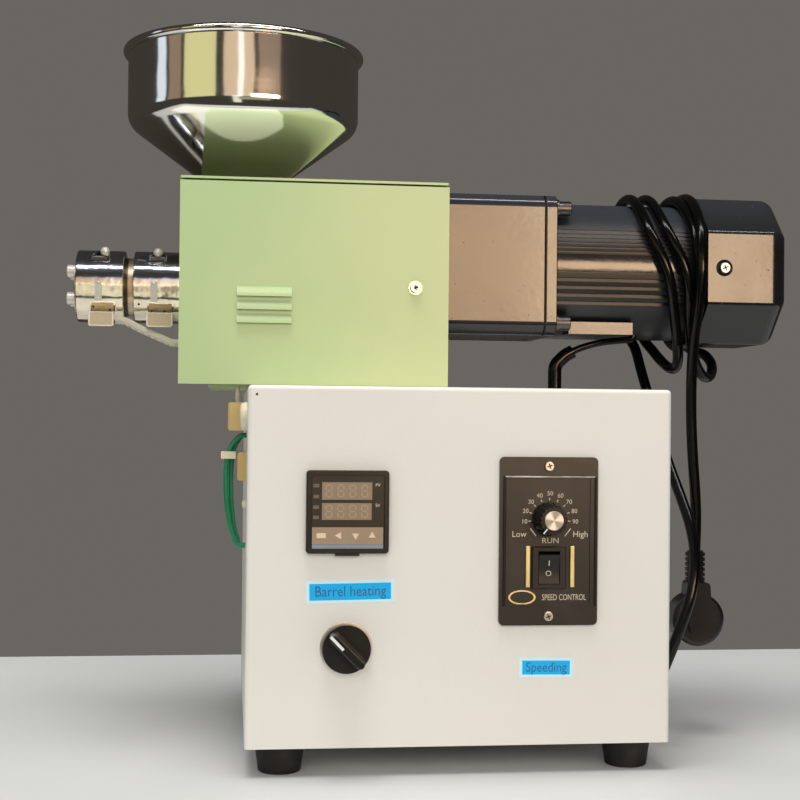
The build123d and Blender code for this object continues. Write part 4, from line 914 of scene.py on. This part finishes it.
piece_of(paper, "label_paper", label_edge)
piece_of(tint_sheet, "label_print", label_blue)
piece_of(ink, "label_words", label_ink)

# %% [markdown]
# ## Screws
# A screw reads as a screw when the cross in its head is dark, so the cross is painted shade: a thin dark
# cross on the head. A dark disc is painted shade for the small hole in the cabinet's upper left corner. The
# guard's screw sits in a thin bright ring and the fan cover's in a black rubber one.

# %% Screw slots and rings
guard_screw = (103.0, 289.3)
fan_screw = (312.9, 309.8)
slot_dark = Finish("slot_dark", base_color=(0.012, 0.011, 0.010), roughness=0.6)
slots = bmesh.new()
# Painted shade: dark crosses in the screws' heads and a dark disc for the cabinet's hole.
cross_slot(slots, "speed_screws", 177.0, 181.2, 1.6)
cross_slot(slots, "speed_screws", 177.0, 92.8, 1.6)
cross_slot(slots, "fan_screws", *fan_screw, 2.2)
cross_slot(slots, "guard_screws", *guard_screw, 1.9)
disc(slots, 5.1, 0.0, 221.6, 0.7, 0.1)
piece_of(slots, "screw_slots", slot_dark)


def ring_round(work, skin, from_left, above, radius, wide):
    """A ring of round wire that lies on a part's front face: a circle spun about the screw's axis."""
    beside = facing_spot(skin, from_left, above + 7.5).translation
    middle = Vector((place(from_left, 0, above).x, beside.y, above / 1000))
    start = Matrix.Translation(middle + Vector((radius / 1000, 0, 0)))
    profile = bmesh.ops.create_circle(work, segments=10, radius=wide / 1000, matrix=start)["verts"]
    profile_edges = list({edge for corner in profile for edge in corner.link_edges})
    bmesh.ops.spin(work, geom=profile + profile_edges, cent=middle, axis=(0, 1, 0), angle=2 * pi,
                   steps=36, use_merge=True)


bright_ring = bmesh.new()
ring_round(bright_ring, "guard_front", *guard_screw, 3.9, 0.6)
piece_of(bright_ring, "guard_screw_ring", screw_steel)
dark_ring = bmesh.new()
ring_round(dark_ring, "fan_cover", *fan_screw, 4.6, 1.0)
piece_of(dark_ring, "fan_screw_ring", gloss_black)

# %% [markdown]
# ## On the heaters
# Each band is pulled tight by a screw whose round nut stands at the upper front. A short strap is
# riveted to the middle of the front, and a few rivets hold the jacket above the terminal box. The box
# itself is tan ceramic in a thin bright frame. A band is given by its name, where its nut and its strap
# are from the left, and the spots of its rivets.

# %% Nuts, straps and rivets
nuts = bmesh.new()
straps = bmesh.new()
rivets = bmesh.new()
barrel_above = 293.2
clamp_above = 312.4
heaters = (
    ("heater_band_1", -92.0, -95.6, ((-99.0, 278.6), (-88.6, 276.8))),
    ("heater_band_2", -58.0, -60.2, ((-70.0, 280.6), (-61.6, 276.4), (-53.6, 276.2))),
)
for band, nut, strap, dots in heaters:
    top = facing_spot("heater_clamps", nut, clamp_above).translation
    bmesh.ops.create_uvsphere(nuts, u_segments=24, v_segments=14, radius=0.0031,
                              matrix=Matrix.Translation(top + Vector((0, -0.0002, 0.0022))))
    strap_spot = facing_spot(band, strap, barrel_above - 4.6)
    stroke(straps, strap_spot, 4.4, 13.0, 0, thickness=0.45)
    for above in (barrel_above + 0.6, barrel_above - 9.4):
        head = facing_spot(band, strap, above)
        bmesh.ops.create_uvsphere(straps, u_segments=16, v_segments=10, radius=0.0013, matrix=head)
    for from_left, above in dots:
        head = facing_spot(band, from_left, above)
        bmesh.ops.create_uvsphere(rivets, u_segments=12, v_segments=8, radius=0.0008, matrix=head)
piece_of(nuts, "heater_nuts", bright_steel)
piece_of(straps, "heater_straps", bright_steel)
piece_of(rivets, "heater_rivets", slot_dark)

# %% Terminal boxes
terminals = bmesh.new()
frames = bmesh.new()
gaps = bmesh.new()
frame_front, frame_back = 104.5, 109.0
frame_low, frame_high = 265.6, 275.4
for left, right in ((-101.6, -85.6), (-64.8, -48.0)):
    block(terminals, left + 0.9, right - 0.9, 104.6, 117.6, 266.2, 274.4, rounding=0.3)
    for side in (left, right - 1.0):
        block(frames, side, side + 1.0, frame_front, frame_back, frame_low, frame_high, rounding=0.2)
    block(frames, left, right, frame_front, frame_back, frame_low, 266.5, rounding=0.2)
    block(frames, left + 0.5, right - 0.5, frame_front, 106.0, 274.3, 275.0, rounding=0.2)
    # Painted shade: a dark block showing in the slits between each ceramic box and its frame.
    block(gaps, left + 0.4, right - 0.4, 106.4, 114.0, 266.0, 273.9, rounding=0.3)
ceramic_boxes = piece_of(terminals, "terminal_boxes", ceramic)
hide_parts("heater_terminals")
piece_of(frames, "terminal_frames", bright_steel)
piece_of(gaps, "terminal_gaps", slot_dark)

# %% [markdown]
# ## The table and the light
# The machine stands on a pale table in front of a grey wall. The wall is the world's colour as the
# camera sees it. Metal mirrors a darker room than that, and what is matt gets daylight from all round.
# The metal shows whatever is round it, so the lamps matter as shapes and not just as light. Two broad
# soft boxes light everything and are never mirrored. The other lamps are only there to be mirrored: warm
# walls behind the camera for the enamel, dim ones for the panels and the heaters, a tube on the ceiling,
# and a small pale card on the guard's lid for the hopper's cone.

# %% Table
table_wide, table_deep, table_thick = 1.6, 0.62, 0.03
back_edge = 0.289
table = bmesh.new()
bmesh.ops.create_cube(table, size=1)
bmesh.ops.scale(table, vec=(table_wide, table_deep, table_thick), verts=table.verts)
bmesh.ops.translate(table, vec=(0, back_edge - table_deep / 2, -table_thick / 2), verts=table.verts)
table_mesh = bpy.data.meshes.new("table")
table.to_mesh(table_mesh)
table.free()
table_top = bpy.data.objects.new("table", table_mesh)
scene.collection.objects.link(table_top)
laminate = mottled("laminate", 0.3, 3.0, (0.63, 0.64, 0.64), (0.59, 0.60, 0.60))
laminate.set("Roughness", 0.4 + 0.15 * laminate.cloud(0.05, 4.0))
dress(laminate, table_top)
print("table set")

# %% World
world = bpy.data.worlds.new("wall")
world.use_nodes = True
room = world.node_tree
ray = room.nodes.new("ShaderNodeLightPath")


def surrounding(colour):
    """A background of one colour."""
    back = room.nodes.new("ShaderNodeBackground")
    back.inputs["Color"].default_value = (*colour, 1)
    return back.outputs[0]


def choose(share, first, second):
    """The second background where the share is 1, and else the first."""
    either = room.nodes.new("ShaderNodeMixShader")
    room.links.new(share, either.inputs["Fac"])
    room.links.new(first, either.inputs[1])
    room.links.new(second, either.inputs[2])
    return either.outputs[0]


daylight_room = surrounding((0.42, 0.42, 0.42))
dark_room = surrounding((0.050, 0.045, 0.038))
grey_wall = surrounding((0.142, 0.133, 0.121))
unseen = choose(ray.outputs["Is Glossy Ray"], daylight_room, dark_room)
seen = choose(ray.outputs["Is Camera Ray"], unseen, grey_wall)
room.links.new(seen, room.nodes["World Output"].inputs["Surface"])
scene.world = world
print("grey wall to the eye, dark room to metal, daylight room to everything matt")

# %% Lamps


def soft_box(name, position, target, size, power, colour, mirrored=True, lighting=True):
    """A rectangular lamp. It never shows itself, and may be left out of mirrors or only be in them."""
    lamp = bpy.data.lights.new(name, "AREA")
    lamp.shape = "RECTANGLE"
    lamp.size, lamp.size_y = size
    lamp.energy = power
    lamp.color = colour
    box = bpy.data.objects.new(name, lamp)
    aim = Vector(target) - Vector(position)
    box.matrix_world = Matrix.Translation(position) @ aim.to_track_quat("-Z", "Y").to_matrix().to_4x4()
    box.visible_camera = False
    box.visible_glossy = mirrored
    box.visible_diffuse = lighting
    scene.collection.objects.link(box)


lighting_boxes = (
    ("overhead", (-0.15, -0.3, 1.7), (-0.05, 0.0, 0.2), (0.8, 0.8), 24, (1.0, 0.98, 0.94)),
    ("front_fill", (-0.2, -1.9, 0.8), (0.0, 0.0, 0.25), (1.6, 0.8), 15.5, (1.0, 0.95, 0.88)),
)
for name, position, target, size, power, colour in lighting_boxes:
    soft_box(name, position, target, size, power, colour, mirrored=False)

walls_at = -1.75
mirrored_walls = (
    ("wall_left", 0.28, 0.50, (0.32, 0.40), 3.8, (1.0, 0.65, 0.38)),
    ("wall_right", 0.72, 0.50, (0.56, 0.40), 10.0, (1.0, 0.69, 0.43)),
    ("front_low", 0.2, 0.0, (1.0, 0.5), 0.5, (1.0, 0.88, 0.72)),
    ("front_left", -0.36, -0.24, (0.30, 1.28), 1.1, (1.0, 0.96, 0.82)),
)
for name, x, z, size, power, colour in mirrored_walls:
    soft_box(name, (x, walls_at, z), (x, 0.0, z), size, power, colour, lighting=False)

soft_box("ceiling_tube", (0.0, -0.75, 1.6), (0.0, 0.0, 0.3), (2.4, 0.10), 16, (1.0, 0.99, 0.97),
         lighting=False)
card_spot = Vector((place(-30, 0, 0).x, place(0, 64, 0).y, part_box("guard_lid")[1].z + 0.0006))
soft_box("pale_card", card_spot, card_spot + Vector((0, 0.01, 1)), (0.13, 0.036), 0.0075,
         (0.98, 1.0, 0.78), lighting=False)
print("room lamps set")

# %% [markdown]
# The hopper's wall mirrors the room as upright stripes, and each stripe is one panel that stands round
# it. A panel is given by its heading and distance from the hopper, its width and height, its power and
# its colour. The tops of all panels are level, and the white one stands in front of the tan one.

# %% Panels that the hopper mirrors
panels = (
    ("pale_side", -87, 1.62, 0.31, 0.70, 0.7, (0.80, 0.88, 1.0)),
    ("brown_side", -70, 1.62, 0.44, 0.70, 0.26, (1.0, 0.70, 0.46)),
    ("cream_left", -43, 1.62, 0.90, 0.70, 1.5, (1.0, 0.94, 0.44)),
    ("tan_front", -5.5, 1.62, 0.84, 0.70, 1.4, (1.0, 0.74, 0.50)),
    ("white_front", -4, 1.55, 0.16, 0.70, 0.26, (0.85, 0.92, 1.0)),
    ("brown_front", 24, 1.62, 0.60, 0.36, 0.16, (1.0, 0.70, 0.50)),
)
panels_top = 1.04
for name, degrees_round, reach, wide, high, power, colour in panels:
    away = radians(degrees_round)
    level = panels_top - high / 2
    stand = (hopper_axis[0] + reach * sin(away), hopper_axis[1] - reach * cos(away), level)
    soft_box(name, stand, (*hopper_axis, level), (wide, high), power, colour, lighting=False)
